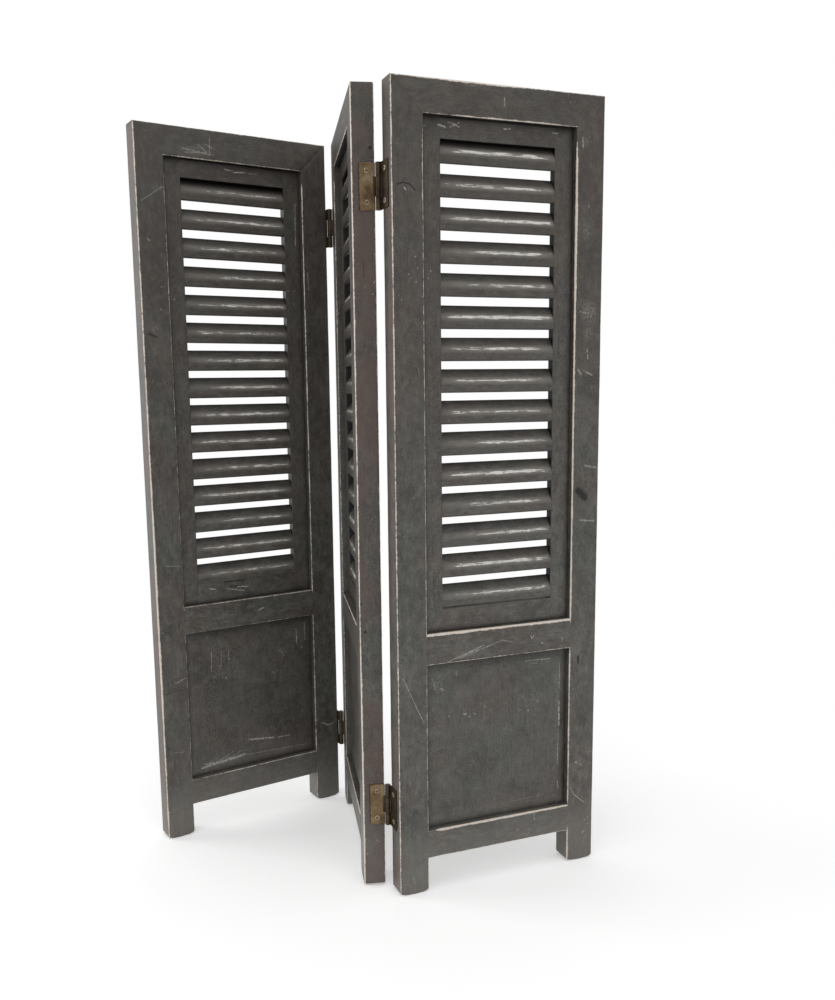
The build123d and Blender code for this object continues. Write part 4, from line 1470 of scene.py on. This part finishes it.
def makeFloor():
    # level square whose shade fades to plain white away from the object
    half = stageLook["floorHalf"]
    mesh = bpy.data.meshes.new("floor")
    corners = [(-half, -half, 0.0), (half, -half, 0.0), (half, half, 0.0), (-half, half, 0.0)]
    mesh.from_pydata(corners, [], [(0, 1, 2, 3)])
    floor = bpy.data.objects.new("floor", mesh)
    bpy.context.scene.collection.objects.link(floor)
    material = emptyMaterial("paleFloor")
    tree = material.node_tree
    diffuse = addNode(tree, "ShaderNodeBsdfDiffuse", Color=stageLook["floorColour"] + (1.0,))
    glow = addNode(tree, "ShaderNodeEmission", Strength=1.0, Color=stageLook["floorGlow"] + (1.0,))
    lit = tree.nodes.new("ShaderNodeAddShader")
    link(tree, diffuse.outputs[0], lit.inputs[0])
    link(tree, glow.outputs[0], lit.inputs[1])
    white = addNode(tree, "ShaderNodeEmission", Strength=1.0)
    coordinates = tree.nodes.new("ShaderNodeTexCoord")
    away = vectorMath(tree, "LENGTH", coordinates.outputs["Object"])
    fade = softStep(tree, away, stageLook["shadowFrom"], stageLook["shadowReach"])
    rays = tree.nodes.new("ShaderNodeLightPath")
    seen = mathNode(tree, "MAXIMUM", rays.outputs["Is Camera Ray"], rays.outputs["Is Glossy Ray"])
    near = mixShaders(tree, fade, lit.outputs[0], white.outputs[0])
    toOutput(tree, mixShaders(tree, seen, diffuse.outputs[0], near))
    mesh.materials.append(material)


def makeWorld():
    world = bpy.data.worlds.new("studio")
    bpy.context.scene.world = world
    world.use_nodes = True
    tree = world.node_tree
    tree.nodes.clear()
    rays = tree.nodes.new("ShaderNodeLightPath")
    seen = mathNode(tree, "MAXIMUM", rays.outputs["Is Camera Ray"], rays.outputs["Is Transmission Ray"])
    soft = addNode(tree, "ShaderNodeBackground", Strength=stageLook["worldLight"])
    white = addNode(tree, "ShaderNodeBackground", Strength=1.0)
    for background in (soft, white):
        background.inputs["Color"].default_value = (1.0, 1.0, 1.0, 1.0)
    toOutput(tree, mixShaders(tree, seen, soft.outputs[0], white.outputs[0]), "ShaderNodeOutputWorld")


def addLamp(name, place, target, size, power):
    light = bpy.data.lights.new(name, "AREA")
    light.shape = "RECTANGLE"
    light.size, light.size_y = size
    light.energy = power
    lamp = bpy.data.objects.new(name, light)
    bpy.context.scene.collection.objects.link(lamp)
    direction = np.array(target) - np.array(place)
    yaw = math.atan2(direction[1], direction[0]) - math.pi / 2
    pitch = math.atan2(direction[2], math.hypot(direction[0], direction[1]))
    lamp.matrix_world = (Matrix.Translation(place) @ Matrix.Rotation(yaw, 4, "Z")
                         @ Matrix.Rotation(math.pi / 2 + pitch, 4, "X"))


cameraLook = {
    "fromRightPanelCorner": (-0.29102, -0.73532, 0.45178),
    "yawDegrees": -20.360,
    "pitchDegrees": 8.539,
    "rollDegrees": -0.939,
    "focalPixels": 943.2,
    "axisPixel": (375.9, 531.9),
    "imageSize": (835.0, 1000.0),
}


def makeCamera():
    look = cameraLook
    width, height = look["imageSize"]
    data = bpy.data.cameras.new("photographView")
    data.sensor_fit = "HORIZONTAL"
    data.sensor_width = 36.0
    data.lens = look["focalPixels"] * data.sensor_width / width
    data.shift_x = (width / 2 - look["axisPixel"][0]) / width
    data.shift_y = (look["axisPixel"][1] - height / 2) / width
    data.clip_start = 0.01
    camera = bpy.data.objects.new("photographView", data)
    bpy.context.scene.collection.objects.link(camera)
    place = np.array(look["fromRightPanelCorner"]) + np.array([corner[0], corner[1], 0.0])
    turn = Matrix.Rotation(math.radians(look["yawDegrees"]), 4, "Z")
    tilt = Matrix.Rotation(math.radians(90.0 - look["pitchDegrees"]), 4, "X")
    roll = Matrix.Rotation(math.radians(look["rollDegrees"]), 4, "Z")
    camera.matrix_world = Matrix.Translation(place) @ turn @ tilt @ roll
    bpy.context.scene.camera = camera


makeFloor()
makeWorld()
for name, (place, target, size, power) in stageLook["lamps"].items():
    addLamp(name, place, target, size, power)
makeCamera()
bpy.context.scene.view_settings.view_transform = "Standard"
print("stage, light and camera set")
